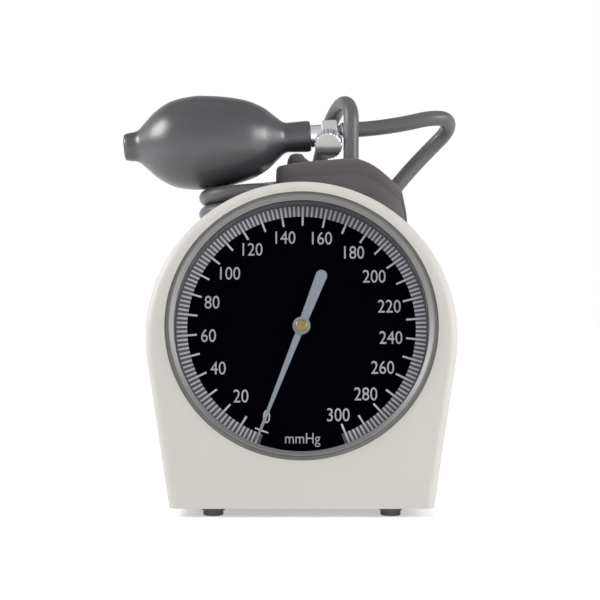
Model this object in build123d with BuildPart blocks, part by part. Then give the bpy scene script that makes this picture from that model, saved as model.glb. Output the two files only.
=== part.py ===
"""Desk sphygmomanometer: a large leaning dial in a moulded case, with a storage basket behind it.

+X is to the right and -Y to the front, as one reads the dial, and +Z is up.
The origin is on the table, under the dial's axis, midway between the front and rear feet.
"""

from build123d import *
import os
from math import acos, asin, atan2, cos, degrees, hypot, pi, radians, sin, tan

os.makedirs("parts", exist_ok=True)


def save(part, name):
    part.label = name
    export_step(part, f"parts/{name}.step")


# Case
TILT = 12.0  # how far the face leans back, degrees
CASE_BOTTOM = 5.0  # the case stands this high on its feet
ARCH_RADIUS = 89.5
ARCH_Z = 100.8
BASE_HALF_WIDTH = 74.3
FACE_Y = -70.0  # where the face's plane meets the table
CASE_BACK_Y = 5.0
WALL = 2.5
FACE_EDGE_RADIUS = 5.5

# Dial and its well, measured from the dial's axis and down from the face
DIAL_Z = 107.9
BEZEL_RADIUS = 78.0
BEZEL_SEAT = 3.5
BEZEL_PROUD = 1.4
GROOVE = -1.3
WELL_RADIUS = 76.0
COLLAR_RADIUS = 80.5
VIEW_RADIUS = 73.0
LENS_TOP = -0.9
LENS_THICKNESS = 2.0
DIAL_TOP = -11.2
DIAL_THICKNESS = 0.8
BACK_PLATE_THICKNESS = 2.0

# Pointer, as angles clockwise from straight down
REST_ANGLE = 21.2
POINTER_TRAVEL = 317.2
POINTER_LENGTH = 71.8
POINTER_TAIL = 35.0
POINTER_Z = -7.2

# Movement
MODULE = 0.4
PINION_TEETH = 12
SECTOR_TEETH = 96  # of the whole circle
PINION_RADIUS = MODULE * PINION_TEETH / 2
SECTOR_RADIUS = MODULE * SECTOR_TEETH / 2
SECTOR_V = -(PINION_RADIUS + SECTOR_RADIUS)
SECTOR_SWING = POINTER_TRAVEL * PINION_TEETH / SECTOR_TEETH
GEAR_BOTTOM = -22.5
GEAR_THICKNESS = 2.0
FRONT_PLATE_Z = (-17.5, -16.0)
BACK_PLATE_Z = (-28.0, -26.5)
PILLARS = [(-18, 6), (18, 6), (7, -36)]
RUNNING = 0.05  # radial clearance of the pivots
TAIL_RADIUS = 4.0  # sector pivot to its tail pin
ROCKER_U = -1.4
ROCKER_W = -34.5
FINGER_LENGTH = 10.0
ROCKER_SWING = 2 * degrees(asin(TAIL_RADIUS * sin(radians(SECTOR_SWING / 2)) / FINGER_LENGTH))
CAPSULE_U, CAPSULE_V = -14.0, SECTOR_V - TAIL_RADIUS
CAPSULE_RADIUS = 21.0
CAPSULE_TOP, CAPSULE_BOTTOM = -41.5, -49.5
BARB_U, BARB_V = -21.4, -25.0

# Basket, cuff and hoses
BASKET_HALF_WIDTH = 69.0
BASKET_BACK_Y = 71.5
BASKET_RIM = 148.0
BASKET_FLOOR = 62.2
COVER_THICKNESS = 3.0
HOSE = 9.5
COIL_X, COIL_Y = -40.0, 36.0
COIL_RADIUS = 18.6
COIL_TURNS = 12
COIL_PITCH = 10.1
CUFF_LEFT, CUFF_RIGHT = -15.9, 65.5
CUFF_FRONT, CUFF_BACK = 11.5, 54.5
CUFF_BOTTOM = BASKET_FLOOR + 0.3
WRAP = 6.2
WRAP_PITCH = 6.8

# Bulb and valve
BULB_Y = 36.0
BULB_SLOPE = 3.45  # degrees that its axis rises to the right
BULB_START = (-109.5, BULB_Y, 215.9)

face = Plane(
    origin=(0, FACE_Y + DIAL_Z * tan(radians(TILT)), DIAL_Z),
    x_dir=(1, 0, 0),
    z_dir=(0, -cos(radians(TILT)), sin(radians(TILT))),
)
case_back = Plane.XZ.offset(-CASE_BACK_Y)
deep_back = Plane.XZ.offset(-(CASE_BACK_Y + COVER_THICKNESS))


def arch_face(inset=0.0):
    """The case's outline as seen from the front, in the sketch that is open."""
    centre_drop = ARCH_Z - CASE_BOTTOM
    reach = hypot(BASE_HALF_WIDTH, centre_drop)
    turn = acos(ARCH_RADIUS / reach) - atan2(centre_drop, BASE_HALF_WIDTH)
    side = (ARCH_RADIUS * cos(turn), ARCH_Z + ARCH_RADIUS * sin(turn))
    with BuildLine() as outline:
        Line((-BASE_HALF_WIDTH, CASE_BOTTOM), (BASE_HALF_WIDTH, CASE_BOTTOM))
        Line((BASE_HALF_WIDTH, CASE_BOTTOM), side)
        ThreePointArc(side, (0, ARCH_Z + ARCH_RADIUS), (-side[0], side[1]))
        Line((-side[0], side[1]), (-BASE_HALF_WIDTH, CASE_BOTTOM))
    make_face(outline.edges())
    if inset:
        offset(amount=-inset, kind=Kind.INTERSECTION)


def ring(outer, inner, low, high):
    """A flat ring about the dial's axis, in the part that is open."""
    with BuildSketch(face.offset(low)) as section:
        Circle(outer)
        Circle(inner, mode=Mode.SUBTRACT)
    extrude(section.sketch, amount=high - low)


# The space inside the case, open below and behind
with BuildPart() as case_space:
    with BuildSketch(case_back):
        arch_face(WALL)
        with Locations((0, CASE_BOTTOM + WALL / 2)):
            Rectangle(2 * (BASE_HALF_WIDTH - WALL), 2 * WALL)
    extrude(amount=CASE_BACK_Y - FACE_Y + 60)
    split(bisect_by=face.offset(-WALL), keep=Keep.BOTTOM)

COVER_BOSSES = [(-58, 132), (58, 132), (-66, 30), (66, 30)]
BOSS_RADIUS = 4.0
BOSS_LENGTH = 14.0
COVER_SCREW_HOLE = 1.3
with BuildPart() as front_housing:
    with BuildSketch(case_back):
        arch_face()
    extrude(amount=CASE_BACK_Y - FACE_Y + 60)
    split(bisect_by=face, keep=Keep.BOTTOM)
    front = front_housing.faces().sort_by(lambda f: abs(f.normal_at().dot(face.z_dir) - 1))[0]
    rim = front.edges().sort_by(Axis.Z)[1:]
    fillet(rim, radius=FACE_EDGE_RADIUS)
    add(case_space.part, mode=Mode.SUBTRACT)
    ring(COLLAR_RADIUS, WELL_RADIUS, DIAL_TOP - DIAL_THICKNESS, -WALL)
    with BuildSketch(face.offset(-BEZEL_SEAT)):
        Circle(BEZEL_RADIUS + 0.2)
    extrude(amount=BEZEL_SEAT + 5, mode=Mode.SUBTRACT)
    with BuildSketch(face.offset(-BEZEL_SEAT - 1)):
        Circle(WELL_RADIUS)
    extrude(amount=BEZEL_SEAT, mode=Mode.SUBTRACT)
    # Bosses that the rear cover screws to, on ribs that reach the walls
    with BuildSketch(case_back):
        with Locations(*COVER_BOSSES):
            Circle(BOSS_RADIUS)
        with Locations((-70, 133), (70, 133)):
            Rectangle(26, 2.5)
        with Locations((-71, 30), (71, 30)):
            Rectangle(12, 2.5)
    extrude(amount=BOSS_LENGTH)
    with BuildSketch(case_back):
        with Locations(*COVER_BOSSES):
            Circle(COVER_SCREW_HOLE)
    extrude(amount=BOSS_LENGTH - 2, mode=Mode.SUBTRACT)
    # Blind holes that the gauge back plate's screws bite in
    with BuildSketch(face.offset(DIAL_TOP - DIAL_THICKNESS)):
        with PolarLocations(78.3, 4, start_angle=45):
            Circle(1.0)
    extrude(amount=6, mode=Mode.SUBTRACT)
save(front_housing.part, "front_housing")

BASKET_SCREWS = [(-60, 128), (60, 128), (-60, 74), (60, 74)]
BARB_HOLE = 4.6
with BuildPart() as rear_cover:
    with BuildSketch(deep_back):
        arch_face()
    extrude(amount=COVER_THICKNESS)
    fillet(rear_cover.faces().sort_by(Axis.Y)[-1].edges().sort_by(Axis.Z)[1:], radius=2.0)
    # A lip that locates the cover inside the case
    with BuildSketch(case_back):
        arch_face(WALL + 0.3)
        with Locations((0, CASE_BOTTOM)):
            Rectangle(2 * BASE_HALF_WIDTH, 4 * WALL, mode=Mode.SUBTRACT)
        arch_lip = offset(amount=-1.8, kind=Kind.INTERSECTION, mode=Mode.PRIVATE)
        add(arch_lip, mode=Mode.SUBTRACT)
        with Locations(*COVER_BOSSES):
            Circle(BOSS_RADIUS + 0.5, mode=Mode.SUBTRACT)
        with Locations((-69, 133), (69, 133)):
            Rectangle(28, 4, mode=Mode.SUBTRACT)
        with Locations((-74, 30), (74, 30)):
            Rectangle(20, 4, mode=Mode.SUBTRACT)
    extrude(amount=3)
    with BuildSketch(deep_back):
        with Locations(*COVER_BOSSES):
            Circle(1.6)
        with Locations(*BASKET_SCREWS):
            Circle(1.3)
    extrude(amount=COVER_THICKNESS, mode=Mode.SUBTRACT)
    with BuildSketch(Plane(face.from_local_coords((BARB_U, BARB_V, -40)), z_dir=face.z_dir * -1)):
        Circle(BARB_HOLE)
    extrude(amount=40, mode=Mode.SUBTRACT)
save(rear_cover.part, "rear_cover")

SCREW_HEAD = 2.6
with BuildPart() as cover_screws:
    with BuildSketch(deep_back):
        with Locations(*COVER_BOSSES):
            Circle(SCREW_HEAD)
    extrude(amount=-1.8)
    with BuildSketch(deep_back):
        with Locations(*COVER_BOSSES):
            Circle(1.25)
    extrude(amount=COVER_THICKNESS + 10)
save(cover_screws.part, "cover_screws")

# The basket: a box with an open top and a raised floor, on walls that reach the base plate
BASKET_FRONT_Y = CASE_BACK_Y + COVER_THICKNESS
BASKET_DEPTH = BASKET_BACK_Y - BASKET_FRONT_Y
BASKET_MID_Y = (BASKET_BACK_Y + BASKET_FRONT_Y) / 2
BASKET_BOTTOM = CASE_BOTTOM
with BuildPart() as storage_basket:
    with BuildSketch(Plane.XY.offset(BASKET_BOTTOM)):
        with Locations((0, BASKET_MID_Y)):
            outer = Rectangle(2 * BASKET_HALF_WIDTH, BASKET_DEPTH)
        fillet(outer.vertices().group_by(Axis.Y)[-1], radius=14)
    extrude(amount=BASKET_RIM - BASKET_BOTTOM)
    inner_size = (2 * (BASKET_HALF_WIDTH - WALL), BASKET_DEPTH - 2 * WALL)
    for low, high in (
        (BASKET_BOTTOM, BASKET_FLOOR - WALL),
        (BASKET_FLOOR, BASKET_RIM),
    ):
        with BuildSketch(Plane.XY.offset(low)):
            with Locations((0, BASKET_MID_Y)):
                inner = Rectangle(*inner_size)
            fillet(inner.vertices().group_by(Axis.Y)[-1], radius=14 - WALL)
        extrude(amount=high - low, mode=Mode.SUBTRACT)
    fillet(storage_basket.edges().group_by(Axis.Z)[-1], radius=0.9)
    # Room for the cover screws' heads and the barb, and holes for the basket's own screws
    with BuildSketch(Plane.XZ.offset(-(BASKET_FRONT_Y + WALL))):
        with Locations(*COVER_BOSSES):
            Circle(SCREW_HEAD + 1.2)
        with Locations(*BASKET_SCREWS):
            Circle(1.6)
    extrude(amount=WALL, mode=Mode.SUBTRACT)
    with BuildSketch(Plane(face.from_local_coords((BARB_U, BARB_V, -50)), z_dir=face.z_dir * -1)):
        Circle(8.5)
    extrude(amount=20, mode=Mode.SUBTRACT)
    # Bosses that the base plate screws to
    with BuildSketch(Plane.XY.offset(CASE_BOTTOM + 2.2)):
        with Locations((-62, 61), (62, 61)):
            Circle(4)
    extrude(amount=14)
    with BuildSketch(Plane.XY.offset(CASE_BOTTOM + 2.2)):
        with Locations((-62, 61), (62, 61)):
            Circle(COVER_SCREW_HOLE)
    extrude(amount=12, mode=Mode.SUBTRACT)
save(storage_basket.part, "storage_basket")

with BuildPart() as basket_screws:
    with BuildSketch(Plane.XZ.offset(-(BASKET_FRONT_Y + WALL))):
        with Locations(*BASKET_SCREWS):
            Circle(SCREW_HEAD)
    extrude(amount=-0.6)
    with BuildSketch(Plane.XZ.offset(-(BASKET_FRONT_Y + WALL))):
        with Locations(*BASKET_SCREWS):
            Circle(1.25)
    extrude(amount=WALL + COVER_THICKNESS)
save(basket_screws.part, "basket_screws")

# Base plate, in two steps: a front part inside the case and a rear part inside the basket
PLATE_FRONT_Y = FACE_Y + 6.5
FEET = {
    "foot_front_left": (-49.8, -56.0),
    "foot_front_right": (50.2, -56.0),
    "foot_rear_left": (-52.0, 58.0),
    "foot_rear_right": (52.0, 58.0),
}
FOOT_HOLE = 2.5
with BuildPart() as base_plate:
    with BuildSketch(Plane.XY.offset(CASE_BOTTOM)):
        with Locations((0, (PLATE_FRONT_Y + CASE_BACK_Y) / 2)):
            Rectangle(2 * (BASE_HALF_WIDTH - WALL - 0.6), CASE_BACK_Y - PLATE_FRONT_Y - 0.4)
        with Locations((0, BASKET_MID_Y)):
            Rectangle(2 * (BASKET_HALF_WIDTH - WALL - 0.3), BASKET_DEPTH - 2 * WALL - 0.6)
    extrude(amount=2)
    fillet(base_plate.edges().filter_by(Axis.Z).group_by(Axis.Y)[-1], radius=11.5)
    # The bridge that joins the two runs below the rear cover's lower edge
    with BuildSketch(Plane.XY.offset(CASE_BOTTOM - 1.6)):
        with Locations((0, 2)):
            Rectangle(110, 44)
    extrude(amount=1.6)
    with BuildSketch(Plane.XY.offset(CASE_BOTTOM)):
        with Locations(*FEET.values()):
            Circle(FOOT_HOLE)
        with Locations((-62, 61), (62, 61)):
            Circle(1.6)
    extrude(amount=2, mode=Mode.SUBTRACT)
save(base_plate.part, "base_plate")

with BuildPart() as base_screws:
    with BuildSketch(Plane.XY.offset(CASE_BOTTOM)):
        with Locations((-62, 61), (62, 61)):
            Circle(SCREW_HEAD)
    extrude(amount=-1.5)
    with BuildSketch(Plane.XY.offset(CASE_BOTTOM)):
        with Locations((-62, 61), (62, 61)):
            Circle(1.25)
    extrude(amount=11)
save(base_screws.part, "base_screws")

for name, (foot_x, foot_y) in FEET.items():
    with BuildPart() as foot:
        with BuildSketch(Plane.XZ):
            with BuildLine():
                Polyline(
                    (0, 0),
                    (5.2, 0),
                    (5.7, 0.5),
                    (5.7, 2.8),
                    (6.5, 3.0),
                    (6.5, CASE_BOTTOM),
                    (FOOT_HOLE, CASE_BOTTOM),
                    (FOOT_HOLE, CASE_BOTTOM + 2),
                    (3.1, CASE_BOTTOM + 2),
                    (2.0, CASE_BOTTOM + 4.2),
                    (0, CASE_BOTTOM + 4.2),
                    (0, 0),
                )
            make_face()
        revolve(axis=Axis.Z)
    save(foot.part.moved(Location((foot_x, foot_y, 0))), name)

# Bezel, lens and dial
with BuildPart() as bezel_ring:
    with BuildSketch(Plane(face.origin, x_dir=(1, 0, 0), z_dir=face.y_dir * -1)):
        # A groove next to the case, a raised edge, and a bevel that slopes in to the lens
        with BuildLine():
            Polyline(
                (BEZEL_RADIUS, GROOVE),
                (BEZEL_RADIUS, -BEZEL_SEAT),
                (74.7, -BEZEL_SEAT),
                (74.7, LENS_TOP),
                (VIEW_RADIUS, LENS_TOP),
                (VIEW_RADIUS, LENS_TOP + 0.3),
                (75.1, BEZEL_PROUD - 0.15),
            )
            ThreePointArc(
                (75.1, BEZEL_PROUD - 0.15), (75.45, BEZEL_PROUD), (75.8, BEZEL_PROUD - 0.2)
            )
            Polyline((75.8, BEZEL_PROUD - 0.2), (76.1, GROOVE), (BEZEL_RADIUS, GROOVE))
        make_face()
    revolve(axis=Axis(face.origin, face.z_dir))
save(bezel_ring.part, "bezel_ring")

with BuildPart() as lens:
    with BuildSketch(face.offset(LENS_TOP - LENS_THICKNESS)):
        Circle(74.5)
    extrude(amount=LENS_THICKNESS)
save(lens.part, "lens")

with BuildPart() as lens_gasket:
    ring(74.5, 73.1, -BEZEL_SEAT, LENS_TOP - LENS_THICKNESS)
save(lens_gasket.part, "lens_gasket")

with BuildPart() as dial_ring:
    ring(75.7, VIEW_RADIUS, DIAL_TOP, -BEZEL_SEAT)
save(dial_ring.part, "dial_ring")

with BuildPart() as dial_plate:
    ring(75.6, 3.0, DIAL_TOP - DIAL_THICKNESS, DIAL_TOP)
save(dial_plate.part, "dial_plate")

BACK_TOP = DIAL_TOP - DIAL_THICKNESS
BACK_LOW = BACK_TOP - BACK_PLATE_THICKNESS
with BuildPart() as gauge_back_plate:
    ring(COLLAR_RADIUS, 8.0, BACK_LOW, BACK_TOP)
    with BuildSketch(face.offset(BACK_LOW)):
        with PolarLocations(78.3, 4, start_angle=45):
            Circle(1.2)
        with Locations(*PILLARS):
            Circle(1.05)
    extrude(amount=BACK_PLATE_THICKNESS, mode=Mode.SUBTRACT)
save(gauge_back_plate.part, "gauge_back_plate")

with BuildPart() as back_plate_screws:
    with BuildSketch(face.offset(BACK_LOW - 1.5)):
        with PolarLocations(78.0, 4, start_angle=45):
            Circle(2.0)
    extrude(amount=1.5)
    with BuildSketch(face.offset(BACK_LOW)):
        with PolarLocations(78.3, 4, start_angle=45):
            Circle(0.98)
    extrude(amount=7)
save(back_plate_screws.part, "back_plate_screws")

# Pointer, lying at rest just below the zero mark
with BuildPart() as pointer:
    with BuildSketch(face.offset(POINTER_Z)):
        with BuildLine():
            Polyline(
                (0, 2.0),
                (0.95 * POINTER_LENGTH, 0.65),
                (POINTER_LENGTH, 0),
                (0.95 * POINTER_LENGTH, -0.65),
                (0, -2.0),
                (-5, -2.4),
                (-POINTER_TAIL + 3.3, -3.3),
            )
            ThreePointArc(
                (-POINTER_TAIL + 3.3, -3.3), (-POINTER_TAIL, 0), (-POINTER_TAIL + 3.3, 3.3)
            )
            Polyline((-POINTER_TAIL + 3.3, 3.3), (-5, 2.4), (0, 2.0))
        make_face()
    extrude(amount=0.8)
    with BuildSketch(face.offset(POINTER_Z - 0.8)):
        Circle(2.6)
    extrude(amount=1.0)
    with BuildSketch(face.offset(POINTER_Z)):
        Circle(5.1)
    extrude(amount=1.6)
    with BuildSketch(face.offset(POINTER_Z - 0.8)):
        Circle(0.8)
    extrude(amount=4, mode=Mode.SUBTRACT)
dial_axis = Axis(face.origin, face.z_dir)
save(pointer.part.rotate(dial_axis, -90 - REST_ANGLE), "pointer")

with BuildPart() as hub_cap:
    with BuildSketch(face.offset(POINTER_Z + 1.6)):
        Circle(3.4)
    extrude(amount=1.5)
    fillet(hub_cap.faces().sort_by(dial_axis)[-1].edges(), radius=0.9)
save(hub_cap.part, "hub_cap")


def movement_plate(low, high, holes):
    """A plate of the movement: a rounded triangle over its three pillars."""
    with BuildSketch(face.offset(low)) as plate:
        Polygon(*PILLARS, align=None)
        offset(amount=5.0, kind=Kind.ARC)
        with Locations(*PILLARS):
            Circle(1.05, mode=Mode.SUBTRACT)
        with Locations(*holes):
            Circle(0.8 + RUNNING, mode=Mode.SUBTRACT)
    extrude(plate.sketch, amount=high - low)


PIVOTS = [(0, 0), (0, SECTOR_V)]
with BuildPart() as movement_front_plate:
    movement_plate(*FRONT_PLATE_Z, PIVOTS)
save(movement_front_plate.part, "movement_front_plate")

LUG_V = (-34.0, -16.0)
FINGER_V = SECTOR_V - TAIL_RADIUS
with BuildPart() as movement_back_plate:
    movement_plate(*BACK_PLATE_Z, PIVOTS)
    # A tongue below the plate takes the rocking shaft's lugs
    with BuildSketch(face.offset(BACK_PLATE_Z[0])):
        with Locations((ROCKER_U, -26)):
            Rectangle(8, 19)
        with Locations((0, SECTOR_V)):
            Circle(0.8 + RUNNING, mode=Mode.SUBTRACT)
    extrude(amount=BACK_PLATE_Z[1] - BACK_PLATE_Z[0])
    # Lugs that carry the rocking shaft, and the window that its finger reaches through
    with BuildSketch(face.offset(ROCKER_W - 2.5)):
        with Locations(*[(ROCKER_U, v) for v in LUG_V]):
            Rectangle(6, 1.5)
    extrude(amount=BACK_PLATE_Z[0] - ROCKER_W + 2.5)
    with BuildSketch(face.offset(BACK_PLATE_Z[0] - 1)):
        with Locations((0, FINGER_V)):
            Rectangle(9, 5)
    extrude(amount=5, mode=Mode.SUBTRACT)
    shaft_low = face.from_local_coords((ROCKER_U, -40, ROCKER_W))
    with BuildSketch(Plane(shaft_low, z_dir=face.y_dir)):
        Circle(0.8 + RUNNING)
    extrude(amount=30, mode=Mode.SUBTRACT)
save(movement_back_plate.part, "movement_back_plate")

with BuildPart() as movement_pillars:
    for low, high in ((BACK_PLATE_Z[1], FRONT_PLATE_Z[0]), (FRONT_PLATE_Z[1], BACK_LOW)):
        with BuildSketch(face.offset(low)):
            with Locations(*PILLARS):
                Circle(2.2)
                Circle(1.05, mode=Mode.SUBTRACT)
        extrude(amount=high - low)
save(movement_pillars.part, "movement_pillars")

with BuildPart() as movement_screws:
    with BuildSketch(face.offset(BACK_PLATE_Z[0] - 1.5)):
        with Locations(*PILLARS):
            Circle(2.0)
    extrude(amount=1.5)
    with BuildSketch(face.offset(BACK_PLATE_Z[0])):
        with Locations(*PILLARS):
            Circle(1.0)
    extrude(amount=BACK_TOP - BACK_PLATE_Z[0] - 0.2)
save(movement_screws.part, "movement_screws")


def tooth(z, addendum, thickness, centre_angle):
    """One trapezoid tooth of a gear of z teeth, as points about the gear's centre."""
    pitch = MODULE * z / 2
    root, tip = pitch - 1.15 * MODULE, pitch + addendum * MODULE
    half = thickness * pi * MODULE / 2
    slope = tan(radians(20))
    points = []
    for radius, side in ((root, -1), (tip, -1), (tip, 1), (root, 1)):
        wide = half - (radius - pitch) * slope
        turn = centre_angle + side * wide / radius
        points.append((radius * cos(turn), radius * sin(turn)))
    return points


with BuildPart() as pinion_arbor:
    for radius, low, high in (
        (0.8, -29.3, POINTER_Z + 1.6),
        (1.5, -26.3, GEAR_BOTTOM - 1),
        (1.5, GEAR_BOTTOM + GEAR_THICKNESS + 1, -17.7),
    ):
        with BuildSketch(face.offset(low)):
            Circle(radius)
        extrude(amount=high - low)
    with BuildSketch(face.offset(GEAR_BOTTOM - 1)):
        Circle(PINION_RADIUS - 1.1 * MODULE)
        for k in range(PINION_TEETH):
            angle = radians(POINTER_TRAVEL / 2 - 90) + 2 * pi * k / PINION_TEETH
            Polygon(*tooth(PINION_TEETH, 0.75, 0.40, angle), align=None)
    extrude(amount=GEAR_THICKNESS + 2)
save(pinion_arbor.part, "pinion_arbor")

# The sector is drawn in the middle of its swing and turned back to rest
sector_plane = Plane(
    face.from_local_coords((0, SECTOR_V, GEAR_BOTTOM)), x_dir=face.x_dir, z_dir=face.z_dir
)
sector_axis = Axis(sector_plane.origin, face.z_dir)
ARC_TEETH = 14
with BuildPart() as sector_gear:
    with BuildSketch(sector_plane):
        with BuildLine():
            half_arc = radians(2 + 180 * ARC_TEETH / SECTOR_TEETH)
            root = SECTOR_RADIUS - 1.1 * MODULE
            left = (-root * sin(half_arc), root * cos(half_arc))
            Line((-1.6, -TAIL_RADIUS), left)
            ThreePointArc(left, (0, root), (-left[0], left[1]))
            Line((-left[0], left[1]), (1.6, -TAIL_RADIUS))
            ThreePointArc((1.6, -TAIL_RADIUS), (0, -TAIL_RADIUS - 1.6), (-1.6, -TAIL_RADIUS))
        make_face()
        Circle(3.0)
        for k in range(ARC_TEETH):
            angle = pi / 2 + 2 * pi * (k - (ARC_TEETH - 1) / 2) / SECTOR_TEETH
            Polygon(*tooth(SECTOR_TEETH, 0.6, 0.40, angle), align=None)
        Circle(0.8, mode=Mode.SUBTRACT)
        with Locations((0, 9.5)):
            Circle(3.0, mode=Mode.SUBTRACT)
    extrude(amount=GEAR_THICKNESS)
    with BuildSketch(sector_plane):
        with Locations((0, -TAIL_RADIUS)):
            Circle(0.6)
    extrude(amount=-3.6)
save(sector_gear.part.rotate(sector_axis, -SECTOR_SWING / 2), "sector_gear")

with BuildPart() as sector_arbor:
    with BuildSketch(sector_plane.offset(BACK_PLATE_Z[0] - 0.6 - GEAR_BOTTOM)):
        Circle(0.8)
    extrude(amount=FRONT_PLATE_Z[1] - BACK_PLATE_Z[0] + 1.2)
save(sector_arbor.part, "sector_arbor")

# Hairspring: half turns whose centres step from side to side
SPRING_STRIP = 0.3
SPRING_STEP = 0.9
with BuildPart() as hairspring:
    with BuildSketch(face.offset(-25.0)):
        with BuildLine():
            for k in range(9):
                side = 1 if k % 2 == 0 else -1
                radius = 2.2 + k * SPRING_STEP / 2
                centre = -SPRING_STEP / 4 * side
                ThreePointArc(
                    (centre + side * radius, 0), (centre, side * radius), (centre - side * radius, 0)
                )
        trace(line_width=SPRING_STRIP)
    extrude(amount=0.8)
save(hairspring.part, "hairspring")

with BuildPart() as spring_stud:
    with BuildSketch(face.offset(BACK_PLATE_Z[1])):
        with Locations((-7.2, 0)):
            Circle(0.9)
    extrude(amount=3)
save(spring_stud.part, "spring_stud")

# Rocking shaft: its long arm rides on the capsule's tip and its finger pushes the sector's tail
rocker_origin = face.from_local_coords((ROCKER_U, 0, ROCKER_W))
rocker_axis = Axis(rocker_origin, face.y_dir)
with BuildPart() as rocking_shaft:
    with BuildSketch(Plane(face.from_local_coords((ROCKER_U, -36, ROCKER_W)), z_dir=face.y_dir)):
        Circle(0.8)
    extrude(amount=22)
    with BuildSketch(Plane(face.from_local_coords((ROCKER_U, -32, ROCKER_W)), z_dir=face.y_dir)):
        Circle(1.8)
    extrude(amount=14)
    with BuildSketch(face.offset(ROCKER_W)):
        with Locations((ROCKER_U, FINGER_V)):
            Rectangle(1.2, 3.4)
    extrude(amount=FINGER_LENGTH + 1.2)
    with BuildSketch(face.offset(ROCKER_W - 0.7)):
        with Locations(((ROCKER_U + CAPSULE_U) / 2 - 1, FINGER_V)):
            Rectangle(ROCKER_U - CAPSULE_U + 2, 3.4)
    extrude(amount=1.4)
save(rocking_shaft.part.rotate(rocker_axis, -ROCKER_SWING / 2), "rocking_shaft")

# Capsule: two ribbed diaphragms, soldered at the rim to one chamber
ARM = ROCKER_U - CAPSULE_U
CAPSULE_TRAVEL = 2 * ARM * sin(radians(ROCKER_SWING / 2))
TIP_TOP = ROCKER_W - 0.7 / cos(radians(ROCKER_SWING / 2)) - CAPSULE_TRAVEL / 2 - 0.35
with BuildPart() as pressure_capsule:
    section = Plane(
        face.from_local_coords((CAPSULE_U, CAPSULE_V, 0)), x_dir=(1, 0, 0), z_dir=face.y_dir * -1
    )
    middle = (CAPSULE_TOP + CAPSULE_BOTTOM) / 2
    with BuildSketch(section):
        with BuildLine():
            crest = [(3.0, CAPSULE_TOP)]
            for k in range(5):
                crest.append((5.0 + 3.2 * k, CAPSULE_TOP if k % 2 else CAPSULE_TOP - 1.2))
            Polyline(
                *crest,
                (CAPSULE_RADIUS, middle + 0.6),
                (CAPSULE_RADIUS, middle - 0.6),
                *[(r, 2 * middle - w) for r, w in reversed(crest)],
                (3.0, CAPSULE_TOP),
            )
        make_face()
    revolve(axis=Axis(section.origin, face.z_dir))
    with BuildSketch(face.offset(CAPSULE_TOP - 3.5)):
        with Locations((CAPSULE_U, CAPSULE_V)):
            Circle(3.0)
    extrude(amount=-4)
save(pressure_capsule.part, "pressure_capsule")

with BuildPart() as capsule_tip:
    with BuildSketch(face.offset(CAPSULE_TOP - 3.0)):
        with Locations((CAPSULE_U, CAPSULE_V)):
            Circle(2.6)
    extrude(amount=TIP_TOP - 1.5 - (CAPSULE_TOP - 3.0))
    with BuildSketch(face.offset(TIP_TOP - 1.6)):
        with Locations((CAPSULE_U, CAPSULE_V)):
            Circle(1.2)
    extrude(amount=1.6)
save(capsule_tip.part, "capsule_tip")

BLOCK_TOP = CAPSULE_BOTTOM
with BuildPart() as socket_block:
    with BuildSketch(face.offset(BLOCK_TOP - 5.0)):
        with Locations(((CAPSULE_U + BARB_U) / 2, CAPSULE_V + 1)):
            RectangleRounded(22, 12, 3)
    extrude(amount=5.0)
    # The arm that holds the block to the movement's lower pillar
    with BuildSketch(face.offset(BLOCK_TOP - 5.0)):
        with Locations((2, CAPSULE_V - 3)):
            Rectangle(20, 6)
    extrude(amount=2.0)
    with BuildSketch(face.offset(BLOCK_TOP - 5.0)):
        with Locations((10, CAPSULE_V - 3)):
            Rectangle(4, 6)
    extrude(amount=BACK_PLATE_Z[0] - BLOCK_TOP + 5.0)
save(socket_block.part, "socket_block")

BARB_TIP = -71.0
with BuildPart() as hose_barb:
    for radius, low, high in (
        (4.4, BARB_TIP + 8, BLOCK_TOP - 5.0),
        (4.75, BARB_TIP, BARB_TIP + 8),
    ):
        with BuildSketch(face.offset(low)):
            with Locations((BARB_U, BARB_V)):
                Circle(radius)
        extrude(amount=high - low)
save(hose_barb.part, "hose_barb")


# Bulb and valve, built along the bulb's own axis
def along(distance, across=(0, 0)):
    """A plane square to the bulb's axis, this far from its left end."""
    rise = radians(BULB_SLOPE)
    x, y, z = BULB_START
    origin = (
        x + distance * cos(rise) - across[1] * sin(rise),
        y + across[0],
        z + distance * sin(rise) + across[1] * cos(rise),
    )
    return Plane(origin, x_dir=(0, 1, 0), z_dir=(cos(rise), 0, sin(rise)))


bulb_axis = Axis(along(0).origin, along(0).z_dir)
bulb_section = Plane(along(0).origin, x_dir=bulb_axis.direction, z_dir=(0, -1, 0))
STUB = 7.0
BULB_PROFILE = [
    (STUB, 9.2), (10.1, 10.9), (13.8, 14.6), (19.4, 20.0), (26.8, 24.9), (34.3, 27.5), (45.5, 29.0),
    (56.6, 28.3), (64.1, 27.3), (71.6, 25.8), (79.0, 23.6), (86.5, 19.8), (90.2, 17.0),
    (93.9, 13.7), (97.6, 10.5), (99.5, 9.4),
]
NECK_END = 115.5
with BuildPart() as bulb:
    with BuildSketch(bulb_section):
        with BuildLine():
            Polyline(
                (99.5, 9.4),
                (100.5, 9.1),
                (NECK_END - 1, 9.5),
                (NECK_END, 8.5),
                (NECK_END, 4.0),
                (98.0, 4.0),
            )
            Spline(
                (98.0, 4.0), (88.0, 15.0), (68.0, 23.5), (47.6, 26.6), (28.0, 23.0), (16.0, 12.0),
                (11.0, 5.0),
            )
            Polyline((11.0, 5.0), (0, 5.0), (0, 7.4), (0.8, 8.2), (STUB, 9.2))
            Spline(*BULB_PROFILE)
        make_face()
    revolve(axis=bulb_axis)
save(bulb.part, "bulb")

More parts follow.
